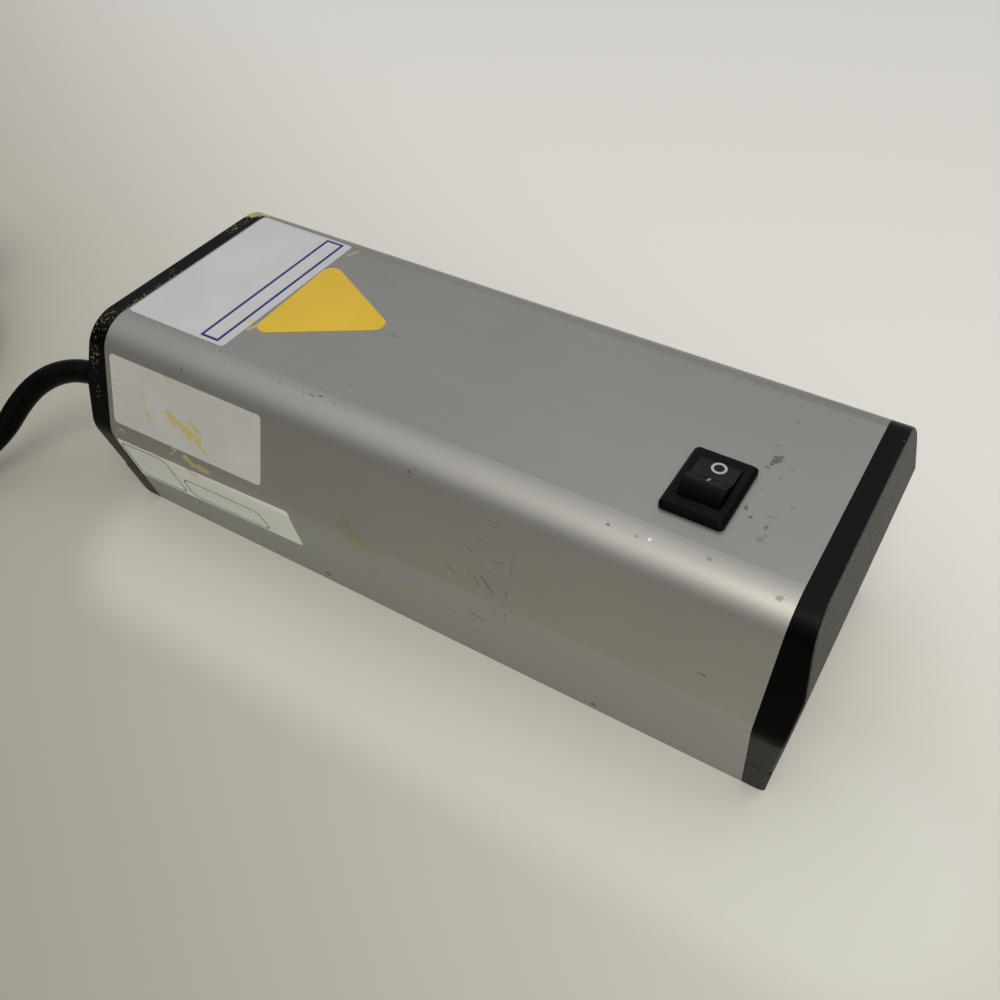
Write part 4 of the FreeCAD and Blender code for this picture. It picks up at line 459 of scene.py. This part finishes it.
def strokes(tree, place, lines, fray):
    """Share of lines: 1 on each line, given as (start, end, half width) in millimetres."""
    total = None
    for start, end, half in lines:
        along = (Vector(end) - Vector(start)) / 1000
        away = vector_maths(tree, "SUBTRACT", place, Vector(start) / 1000)
        reach = vector_maths(tree, "DOT_PRODUCT", away, along / along.length_squared)
        nearest = add_node(tree, "ShaderNodeVectorMath", operation="SCALE")
        nearest.inputs[0].default_value = along
        tree.links.new(span(tree, reach, 0.0, 1.0, steep=True), nearest.inputs["Scale"])
        gap = vector_maths(tree, "DISTANCE", away, nearest.outputs[0])
        torn = maths(tree, "ADD", maths(tree, "MULTIPLY", gap, 1000 / half), fray)
        inside = span(tree, torn, 0.7, 1.3, 1.0, 0.0)
        total = inside if total is None else maths(tree, "MAXIMUM", total, inside)
    return total


def wavering(tree, place, scale, reach):
    """The place moved about a little, so that drawn marks aren't straight; reach in metres."""
    cloud = add_node(tree, "ShaderNodeTexNoise")
    tree.links.new(place, cloud.inputs["Vector"])
    cloud.inputs["Scale"].default_value = scale
    cloud.inputs["Detail"].default_value = 3.0
    shift = add_node(tree, "ShaderNodeVectorMath", operation="MULTIPLY_ADD")
    tree.links.new(cloud.outputs["Color"], shift.inputs[0])
    shift.inputs[1].default_value = (reach, reach, reach)
    tree.links.new(place, shift.inputs[2])
    return vector_maths(tree, "SUBTRACT", shift.outputs[0], (reach / 2, reach / 2, reach / 2))


def torn_edge(tree, place, scale, depth):
    """Uneven number round 0 that frays the edge of a mark."""
    return maths(tree, "MULTIPLY", maths(tree, "SUBTRACT", noise(tree, place, scale, 4.0, 0.7), 0.5), depth)


def new_finish(name):
    material = bpy.data.materials.new(name)
    material.use_nodes = True
    tree = material.node_tree
    shader = tree.nodes["Principled BSDF"]
    return material, tree, shader


def rounded_normal(tree, shader, radius, height, strength, distance):
    """Fine relief over softly broken edges."""
    relief = add_node(tree, "ShaderNodeBump")
    relief.inputs["Strength"].default_value = strength
    relief.inputs["Distance"].default_value = distance
    tree.links.new(height, relief.inputs["Height"])
    if radius > 0:
        edge = add_node(tree, "ShaderNodeBevel", samples=6)
        edge.inputs["Radius"].default_value = radius
        tree.links.new(edge.outputs[0], relief.inputs["Normal"])
    tree.links.new(relief.outputs[0], shader.inputs["Normal"])


def plain_finish(name, colour, second, metallic, rough, rough_spread, grain, stretch=(1, 1, 1),
                 relief=0.2, depth=0.00005, edge=0.0002, specular=0.5, coat=0.0):
    """Finish with a mottled colour, uneven gloss and fine relief."""
    material, tree, shader = new_finish(name)
    place = vector_maths(tree, "MULTIPLY", place_of(tree), stretch)
    coarse = noise(tree, place, grain * 0.12, 5.0, 0.6)
    fine = noise(tree, place, grain, 6.0, 0.6)
    share = span(tree, coarse, 0.35, 0.68)
    tree.links.new(blended(tree, share, (*colour, 1), (*second, 1)), shader.inputs["Base Color"])
    feed(tree, span(tree, fine, 0.25, 0.75, rough - rough_spread, rough + rough_spread, True),
         shader.inputs["Roughness"])
    shader.inputs["Metallic"].default_value = metallic
    shader.inputs["Specular IOR Level"].default_value = specular
    shader.inputs["Coat Weight"].default_value = coat
    rounded_normal(tree, shader, edge, fine, relief, depth)
    return material


def housing_finish():
    """Satin anodised aluminium with dark knocks, scratches and dried smears, and painted shade on faces
    turned downward.
    """
    material, tree, shader = new_finish("anodised_aluminium")
    place = place_of(tree)
    drawn = noise(tree, vector_maths(tree, "MULTIPLY", place, (14, 900, 900)), 1.0, 5.0, 0.65)
    cloud = noise(tree, place, 16.0, 4.0, 0.55)
    grit = noise(tree, place, 2600.0, 2.0, 0.5)
    fine_edge = torn_edge(tree, place, 2600.0, 5.0)
    soft_edge = torn_edge(tree, place, 300.0, 2.4)

    tone = maths(tree, "ADD", maths(tree, "MULTIPLY", cloud, 0.7), maths(tree, "MULTIPLY", drawn, 0.3))
    metal = blended(tree, span(tree, tone, 0.35, 0.65), METAL_DIM, METAL_BRIGHT)
    # Painted shade: darker metal on faces turned downward
    painted_shade_below = span(tree, facing(tree)[2], -0.2, 0.2, 0.45, 0.0)
    metal = blended(tree, painted_shade_below, metal, METAL_PAINTED_SHADE)
    bent = wavering(tree, place, 260.0, 0.0022)
    smears = maths(tree, "MULTIPLY", strokes(tree, bent, SMEARS, soft_edge), 0.75)
    metal = blended(tree, smears, metal, SMEAR_COLOUR)
    faint = maths(tree, "MULTIPLY", spots(tree, place, FAINT_CHIPS, fine_edge), 0.42)
    chips = maths(tree, "MULTIPLY", spots(tree, place, CHIPS, fine_edge), 0.85)
    drag = span(tree, noise(tree, place, 420.0, 3.0, 0.6), 0.4, 0.6, 0.4, 0.85)
    bent = wavering(tree, place, 500.0, 0.0009)
    scratches = strokes(tree, bent, SCRATCHES, torn_edge(tree, place, 1100.0, 2.6))
    scratches = maths(tree, "MULTIPLY", scratches, drag)
    knocks = maths(tree, "MAXIMUM", maths(tree, "MAXIMUM", chips, faint), scratches)
    metal = blended(tree, knocks, metal, KNOCK_COLOUR)
    red = spots(tree, place, RED_DOTS, torn_edge(tree, place, 1500.0, 2.4))
    metal = blended(tree, red, metal, RED_COLOUR)
    metal = blended(tree, spots(tree, place, WHITE_DOTS, fine_edge), metal, WHITE_COLOUR)
    paint = strokes(tree, place, YELLOW_PAINT, torn_edge(tree, place, 900.0, 3.0))
    paint = maths(tree, "MULTIPLY", paint, 0.7)
    metal = blended(tree, paint, metal, PAINT_COLOUR)
    tree.links.new(metal, shader.inputs["Base Color"])

    worn = maths(tree, "MAXIMUM", knocks, paint)
    gloss = span(tree, drawn, 0.3, 0.7, 0.44, 0.48, True)
    gloss = maths(tree, "ADD", gloss, maths(tree, "MULTIPLY", worn, 0.2))
    tree.links.new(gloss, shader.inputs["Roughness"])
    feed(tree, span(tree, worn, 0.0, 1.0, 0.9, 0.2, True), shader.inputs["Metallic"])
    relief = maths(tree, "ADD", maths(tree, "MULTIPLY", drawn, 0.12), maths(tree, "MULTIPLY", grit, 0.8))
    rounded_normal(tree, shader, 0.0002, relief, 0.12, 0.00003)
    return material


def cap_finish():
    """Black moulded cap: glossy round the sides with a painted sheen on upward faces, greyer and matt on its
    end face, flecked at one end.
    """
    material, tree, shader = new_finish("cap_plastic")
    place = place_of(tree)
    grain = noise(tree, place, 2300.0, 3.0, 0.6)
    cloud = noise(tree, place, 60.0, 5.0, 0.65)
    way = facing(tree)
    endward = span(tree, maths(tree, "ABSOLUTE", way[0]), 0.5, 0.9)
    # Painted sheen: upward faces made lighter
    upward = span(tree, maths(tree, "ADD", way[2], maths(tree, "MULTIPLY", cloud, 0.2)), 0.75, 1.1)
    black = blended(tree, upward, CAP_BLACK, CAP_UPWARD_SHEEN)
    matt = blended(tree, span(tree, grain, 0.38, 0.62), CAP_FACE_DIM, CAP_FACE_BRIGHT)
    colour = blended(tree, endward, black, matt)
    speckle = span(tree, noise(tree, place, 1500.0, 2.0, 0.5), 0.58, 0.66)
    flecks = spots(tree, place, FLECKED, torn_edge(tree, place, 500.0, 2.0))
    flecks = maths(tree, "MULTIPLY", flecks, speckle)
    colour = blended(tree, maths(tree, "MULTIPLY", flecks, 0.8), colour, FLECK_COLOUR)
    paint = strokes(tree, place, YELLOW_PAINT, torn_edge(tree, place, 900.0, 4.0))
    colour = blended(tree, maths(tree, "MULTIPLY", paint, 0.75), colour, CAP_PAINT_COLOUR)
    tree.links.new(colour, shader.inputs["Base Color"])
    gloss = span(tree, endward, 0.0, 1.0, 0.2, 0.5)
    gloss = maths(tree, "ADD", gloss, maths(tree, "MULTIPLY", cloud, 0.12))
    tree.links.new(gloss, shader.inputs["Roughness"])
    shader.inputs["Specular IOR Level"].default_value = 0.05
    rounded_normal(tree, shader, 0.0004, grain, 0.15, 0.00004)
    return material


def switch_finish(name, upward_sheen):
    """Black switch plastic; the second argument is the colour of the painted sheen, in patches, where it
    faces up.
    """
    material, tree, shader = new_finish(name)
    place = place_of(tree)
    grain = noise(tree, place, 1600.0, 4.0, 0.6)
    # Noise that breaks the painted sheen into patches
    sheen_patches = noise(tree, place, 260.0, 4.0, 0.6)
    # Painted sheen on upward faces
    upward = span(tree, facing(tree)[2], 0.75, 0.97)
    upward = maths(tree, "MULTIPLY", upward, span(tree, sheen_patches, 0.3, 0.7, 0.7, 1.0))
    tree.links.new(blended(tree, upward, SWITCH_BLACK, upward_sheen), shader.inputs["Base Color"])
    tree.links.new(span(tree, grain, 0.3, 0.7, 0.3, 0.4, True), shader.inputs["Roughness"])
    shader.inputs["Specular IOR Level"].default_value = 0.05
    rounded_normal(tree, shader, 0.0003, grain, 0.1, 0.00004)
    return material


def label_finish(name, colour, second, stained=False):
    """Paper, film or ink: faint mottling, and where stained also dried stains and a crease drawn as a line of
    painted shade.
    """
    material, tree, shader = new_finish(name)
    place = place_of(tree)
    cloud = noise(tree, place, 45.0, 5.0, 0.6)
    fibre = noise(tree, place, 2200.0, 4.0, 0.6)
    base = blended(tree, span(tree, cloud, 0.35, 0.7), (*colour, 1), (*second, 1))
    if stained:
        share = strokes(tree, place, PAPER_STAINS, torn_edge(tree, place, 700.0, 4.5))
        base = blended(tree, maths(tree, "MULTIPLY", share, 0.72), base, STAIN_COLOUR)
        # Painted shade: a dark line along the crease
        share = strokes(tree, place, PAPER_CREASES, torn_edge(tree, place, 700.0, 1.0))
        base = blended(tree, maths(tree, "MULTIPLY", share, 0.35), base, CREASE_SHADE_COLOUR)
    tree.links.new(base, shader.inputs["Base Color"])
    feed(tree, span(tree, cloud, 0.3, 0.7, 0.34, 0.5, True), shader.inputs["Roughness"])
    rounded_normal(tree, shader, 0.0, fibre, 0.1, 0.00002)
    return material


def filter_finish():
    """Deep violet filter glass."""
    material, tree, shader = new_finish("filter_glass")
    place = place_of(tree)
    cloud = noise(tree, place, 30.0, 4.0, 0.5)
    violet = blended(tree, span(tree, cloud, 0.3, 0.7), (0.012, 0.006, 0.028, 1), (0.02, 0.01, 0.045, 1))
    tree.links.new(violet, shader.inputs["Base Color"])
    feed(tree, span(tree, cloud, 0.3, 0.7, 0.04, 0.1, True), shader.inputs["Roughness"])
    rounded_normal(tree, shader, 0.0002, noise(tree, place, 400.0, 3.0, 0.5), 0.02, 0.00002)
    return material


def tube_finish():
    """Clear discharge tube with a faint grey coat."""
    material, tree, shader = new_finish("tube_glass")
    place = place_of(tree)
    cloud = noise(tree, place, 90.0, 3.0, 0.5)
    clear = blended(tree, span(tree, cloud, 0.3, 0.7), (0.8, 0.84, 0.86, 1), (0.9, 0.92, 0.93, 1))
    tree.links.new(clear, shader.inputs["Base Color"])
    feed(tree, span(tree, cloud, 0.3, 0.7, 0.03, 0.08, True), shader.inputs["Roughness"])
    shader.inputs["Transmission Weight"].default_value = 0.85
    return material


def floor_finish():
    """Pale table top whose colour carries painted light: darker towards the front and left, brighter towards
    the back and right, with a painted glow of reflected light along the object's near side.
    """
    material, tree, shader = new_finish("floor")
    place = place_of(tree)
    # Painted light and shade: floor colour brightens towards the back and right
    share = span(tree, vector_maths(tree, "DOT_PRODUCT", place, FLOOR_WAY), *FLOOR_REACH)
    shade = blended(tree, share, FLOOR_COLOUR, FLOOR_SECOND)
    # Painted reflected light: a brighter band on the floor along the object's near side
    glow = maths(tree, "MULTIPLY", strokes(tree, place, FLOOR_PATCH, 0.0), FLOOR_PATCH_SHARE)
    tree.links.new(blended(tree, glow, shade, FLOOR_PAINTED_GLOW), shader.inputs["Base Color"])
    shader.inputs["Roughness"].default_value = 0.6
    return material


def dress(solids, material):
    """Gives solids of the part a finish."""
    for solid in solids:
        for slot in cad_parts[solid].material_slots:
            slot.link = "OBJECT"
            slot.material = material


def skin(girth, lift):
    """Point on the housing's skin, girth along the profile from the top's middle, lift above it."""
    side = 1 if girth < 0 else -1
    left = abs(girth)
    slope = math.atan2(RIDGE_HALF_WIDTH - TOP_HALF_WIDTH, BODY_HEIGHT - RIDGE_HEIGHT)
    corner = math.pi / 2 - slope
    low_slope = math.atan2(RIDGE_HALF_WIDTH - BOTTOM_HALF_WIDTH, RIDGE_HEIGHT)
    flat = TOP_HALF_WIDTH - CORNER_RADIUS * math.tan(corner / 2)
    if left <= flat:
        return Vector((0, side * left, BODY_HEIGHT + lift))
    left -= flat
    reach = CORNER_RADIUS + lift
    centre = Vector((0, flat, BODY_HEIGHT - CORNER_RADIUS))
    turn = min(left / CORNER_RADIUS, corner)
    point = centre + Vector((0, reach * math.sin(turn), reach * math.cos(turn)))
    left -= CORNER_RADIUS * corner
    if left > 0:
        down = Vector((0, math.sin(slope), -math.cos(slope)))
        side_length = math.hypot(RIDGE_HALF_WIDTH - TOP_HALF_WIDTH, BODY_HEIGHT - RIDGE_HEIGHT)
        side_length -= CORNER_RADIUS * math.tan(corner / 2) + RIDGE_RADIUS * math.tan((slope + low_slope) / 2)
        point += down * min(left, side_length)
        left -= side_length
    if left > 0:
        out = Vector((0, math.cos(slope), math.sin(slope)))
        centre = point - out * (RIDGE_RADIUS + lift)
        turn = min(left / RIDGE_RADIUS, slope + low_slope)
        angle = slope - turn
        point = centre + Vector((0, math.cos(angle), math.sin(angle))) * (RIDGE_RADIUS + lift)
        left -= RIDGE_RADIUS * (slope + low_slope)
    if left > 0:
        point += Vector((0, -math.sin(low_slope), -math.cos(low_slope))) * left
    return Vector((0, side * point.y, point.z))


def corner_ways(corners):
    """Each corner's place, the directions to its neighbours, and half the angle between them."""
    for i, corner in enumerate(corners):
        here = Vector(corner)
        back = (Vector(corners[i - 1]) - here).normalized()
        ahead = (Vector(corners[(i + 1) % len(corners)]) - here).normalized()
        yield here, back, ahead, back.angle(ahead) / 2


def rounded_outline(corners, radius, steps=6):
    """Closed outline with each corner replaced by an arc."""
    outline = []
    for here, back, ahead, half in corner_ways(corners):
        reach = radius / math.tan(half)
        centre = here + (back + ahead).normalized() * (radius / math.sin(half))
        start = here + back * reach - centre
        end = here + ahead * reach - centre
        turn = start.angle(end)
        sign = 1 if start.x * end.y - start.y * end.x > 0 else -1
        for k in range(steps + 1):
            angle = sign * turn * k / steps
            outline.append(centre + Vector((start.x * math.cos(angle) - start.y * math.sin(angle),
                                            start.x * math.sin(angle) + start.y * math.cos(angle))))
    return outline


def flat_sheet(outlines):
    """Mesh of a plan outline with optional inner outlines, cut into strips so that it can bend."""
    bm = bmesh.new()
    loops = []
    for outline in outlines:
        verts = [bm.verts.new((p[0], p[1], 0)) for p in outline]
        loops += [bm.edges.new((a, b)) for a, b in zip(verts, verts[1:] + verts[:1])]
    bmesh.ops.triangle_fill(bm, use_beauty=True, edges=loops)
    low = min(v.co.y for v in bm.verts)
    high = max(v.co.y for v in bm.verts)
    steps = max(2, int((high - low) / LABEL_STRIP))
    for k in range(1, steps):
        y = low + (high - low) * k / steps
        parts = bm.verts[:] + bm.edges[:] + bm.faces[:]
        bmesh.ops.bisect_plane(bm, geom=parts, plane_co=(0, y, 0), plane_no=(0, 1, 0))
    return bm


def stick(name, outlines, lift, thickness, material, wrap=skin, body="lamp"):
    """Thin sheet laid on a surface: outlines are (x, girth), wrap gives the surface's points."""
    bm = flat_sheet(outlines)
    verts = list(bm.verts)
    tops = {}
    lows = {}
    for v in verts:
        top = wrap(v.co.y, lift + thickness)
        low = wrap(v.co.y, lift)
        tops[v] = Vector((v.co.x, top.y, top.z)) / 1000
        lows[v] = bm.verts.new(Vector((v.co.x, low.y, low.z)) / 1000)
    rim = [e for e in bm.edges if e.is_boundary]
    for face in list(bm.faces):
        bm.faces.new([lows[v] for v in reversed(face.verts)])
    for edge in rim:
        a, b = edge.verts
        bm.faces.new((a, b, lows[b], lows[a]))
    for v, place in tops.items():
        v.co = place
    bmesh.ops.recalc_face_normals(bm, faces=bm.faces)
    mesh = bpy.data.meshes.new(name)
    bm.to_mesh(mesh)
    bm.free()
    piece = bpy.data.objects.new(name, mesh)
    scene.collection.objects.link(piece)
    mesh.materials.append(material)
    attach(piece, body)


def frame_outlines(corners, radius, width):
    """Outer and inner outline of a printed rule."""
    inner = [here + (back + ahead).normalized() * (width / math.sin(half))
             for here, back, ahead, half in corner_ways(corners)]
    return [rounded_outline(corners, radius), rounded_outline(inner, max(radius - width, SMALLEST_CORNER))]


def slope_skin(girth, lift):
    """Point on the rocker's raised half, girth from its valley towards the crest."""
    tilt = math.radians(ROCKER_SLOPE)
    return Vector((0, ROCKER_VALLEY_Y - girth * math.cos(tilt) + lift * math.sin(tilt),
                   ROCKER_FLAT_HEIGHT + girth * math.sin(tilt) + lift * math.cos(tilt)))


def flat_skin(girth, lift):
    """Point on the rocker's level half, girth from its valley away from the crest."""
    return Vector((0, ROCKER_VALLEY_Y + girth, ROCKER_FLAT_HEIGHT + lift))


def circle(x, y, radius, steps=40):
    return [(x + radius * math.cos(2 * math.pi * k / steps), y + radius * math.sin(2 * math.pi * k / steps))
            for k in range(steps)]


def add_sticker(name, outline, finish):
    stick(name, [outline], 0.0, LABEL_THICKNESS, finish)


def add_rule(name, outlines, finish):
    stick(name, outlines, LABEL_THICKNESS, MARK_THICKNESS, finish)


def add_labels(finishes):
    """Bare stickers with empty printed boxes, where the real ones are."""
    add_sticker("label_top", rounded_outline(LABEL_TOP, LABEL_CORNER), finishes["film"])
    top_rule = frame_outlines(TOP_RULE, TOP_RULE_CORNER, TOP_RULE_WIDTH)
    add_rule("label_top_rule", top_rule, finishes["blue_ink"])
    triangle = [TRIANGLE_CENTRE + Vector((math.cos(a), math.sin(a))) * TRIANGLE_REACH
                for a in map(math.radians, TRIANGLE_ANGLES)]
    add_sticker("label_triangle", rounded_outline(triangle, TRIANGLE_CORNER, 10), finishes["yellow"])
    add_sticker("label_side", rounded_outline(LABEL_SIDE, LABEL_CORNER), finishes["paper"])
    add_sticker("label_low", rounded_outline(LABEL_LOW, LABEL_CORNER), finishes["low_paper"])
    for number, corners in enumerate(LOW_RULES):
        outlines = frame_outlines(corners, LOW_RULE_CORNER, LOW_RULE_WIDTH)
        add_rule("label_low_rule_%d" % number, outlines, finishes["black_ink"])


def add_rocker_marks(finish):
    """O on the level half of the rocker and I on the raised half."""
    ring = [circle(RING_X, RING_AWAY, radius) for radius in (RING_OUTER_RADIUS, RING_INNER_RADIUS)]
    stick("mark_off", ring, 0.0, MARK_THICKNESS, finish, flat_skin, "rocker")
    left = ROCKER_X - BAR_HALF_WIDTH
    right = ROCKER_X + BAR_HALF_WIDTH
    bar = [(left, BAR_NEAR_END), (right, BAR_NEAR_END), (right, BAR_FAR_END), (left, BAR_FAR_END)]
    stick("mark_on", [bar], 0.0, MARK_THICKNESS, finish, slope_skin, "rocker")


def add_stage():
    mesh = bpy.data.meshes.new("floor")
    half = FLOOR_HALF_SIZE
    corners = [(-half, -half, 0), (half, -half, 0), (half, half, 0), (-half, half, 0)]
    mesh.from_pydata(corners, [], [(0, 1, 2, 3)])
    floor = bpy.data.objects.new("floor", mesh)
    scene.collection.objects.link(floor)
    mesh.materials.append(floor_finish())


def add_lamp():
    """One wide lamp overhead, aimed at the object."""
    data = bpy.data.lights.new("ceiling", "AREA")
    data.shape = "DISK"
    data.size = LAMP_SIZE
    data.energy = LAMP_POWER
    data.color = LAMP_COLOUR
    lamp = bpy.data.objects.new("ceiling", data)
    scene.collection.objects.link(lamp)
    lamp.location = LAMP_PLACE
    lamp.rotation_euler = (-LAMP_PLACE).to_track_quat("-Z", "Y").to_euler()


def add_sky():
    """Soft room light, brightest overhead and dimmest in front."""
    world = bpy.data.worlds.new("studio")
    scene.world = world
    world.use_nodes = True
    tree = world.node_tree
    shade = tree.nodes["Background"]
    way = add_node(tree, "ShaderNodeTexCoord").outputs["Generated"]
    toward = vector_maths(tree, "DOT_PRODUCT", way, SKY_WAY)
    split = add_node(tree, "ShaderNodeSeparateXYZ")
    tree.links.new(way, split.inputs[0])
    low = span(tree, split.outputs[1], -0.5, 0.5, SKY_FRONT, SKY_BACK)
    high = span(tree, toward, 0.3, 0.9, 0.0, SKY_OVERHEAD)
    tree.links.new(blended(tree, high, SKY_COOL, SKY_WARM), shade.inputs["Color"])
    tree.links.new(maths(tree, "ADD", low, high), shade.inputs["Strength"])


def finish_nodes():
    """A finish for every solid of the part; returns the cord's."""
    finishes = {row[0]: plain_finish(*row[:7], **row[7]) for row in PLAIN_FINISHES}
    finishes["anodised_aluminium"] = housing_finish()
    finishes["cap_plastic"] = cap_finish()
    finishes["filter_glass"] = filter_finish()
    finishes["tube_glass"] = tube_finish()
    # Both switch finishes carry a painted sheen on upward faces
    finishes["switch_plastic"] = switch_finish("switch_plastic", SWITCH_UPWARD_SHEEN)
    finishes["rocker_plastic"] = switch_finish("rocker_plastic", ROCKER_UPWARD_SHEEN)
    for name, solids in SOLIDS.items():
        dress(solids, finishes[name])
    return finishes["cord_pvc"]


add_camera()
cord = add_cord()
cord.data.materials.append(finish_nodes())
add_labels({
    "film": label_finish("label_film", (0.45, 0.45, 0.48), (0.49, 0.49, 0.515), stained=True),
    "paper": label_finish("label_paper", (0.465, 0.468, 0.45), (0.505, 0.508, 0.49), stained=True),
    # Painted light: the low label's paper is lighter than the side label's, standing in for light thrown up
    # from the table
    "low_paper": label_finish("label_low_paper", (0.68, 0.69, 0.65), (0.73, 0.74, 0.7), stained=True),
    "yellow": label_finish("label_yellow", (0.585, 0.385, 0.022), (0.635, 0.42, 0.03)),
    "blue_ink": label_finish("blue_ink", (0.011, 0.009, 0.12), (0.015, 0.013, 0.145)),
    "black_ink": label_finish("black_ink", (0.02, 0.02, 0.05), (0.035, 0.035, 0.07)),
})
add_rocker_marks(label_finish("rocker_ink", (0.29, 0.3, 0.32), (0.36, 0.37, 0.39)))
add_stage()
add_sky()
add_lamp()
scene.view_settings.view_transform = "Standard"
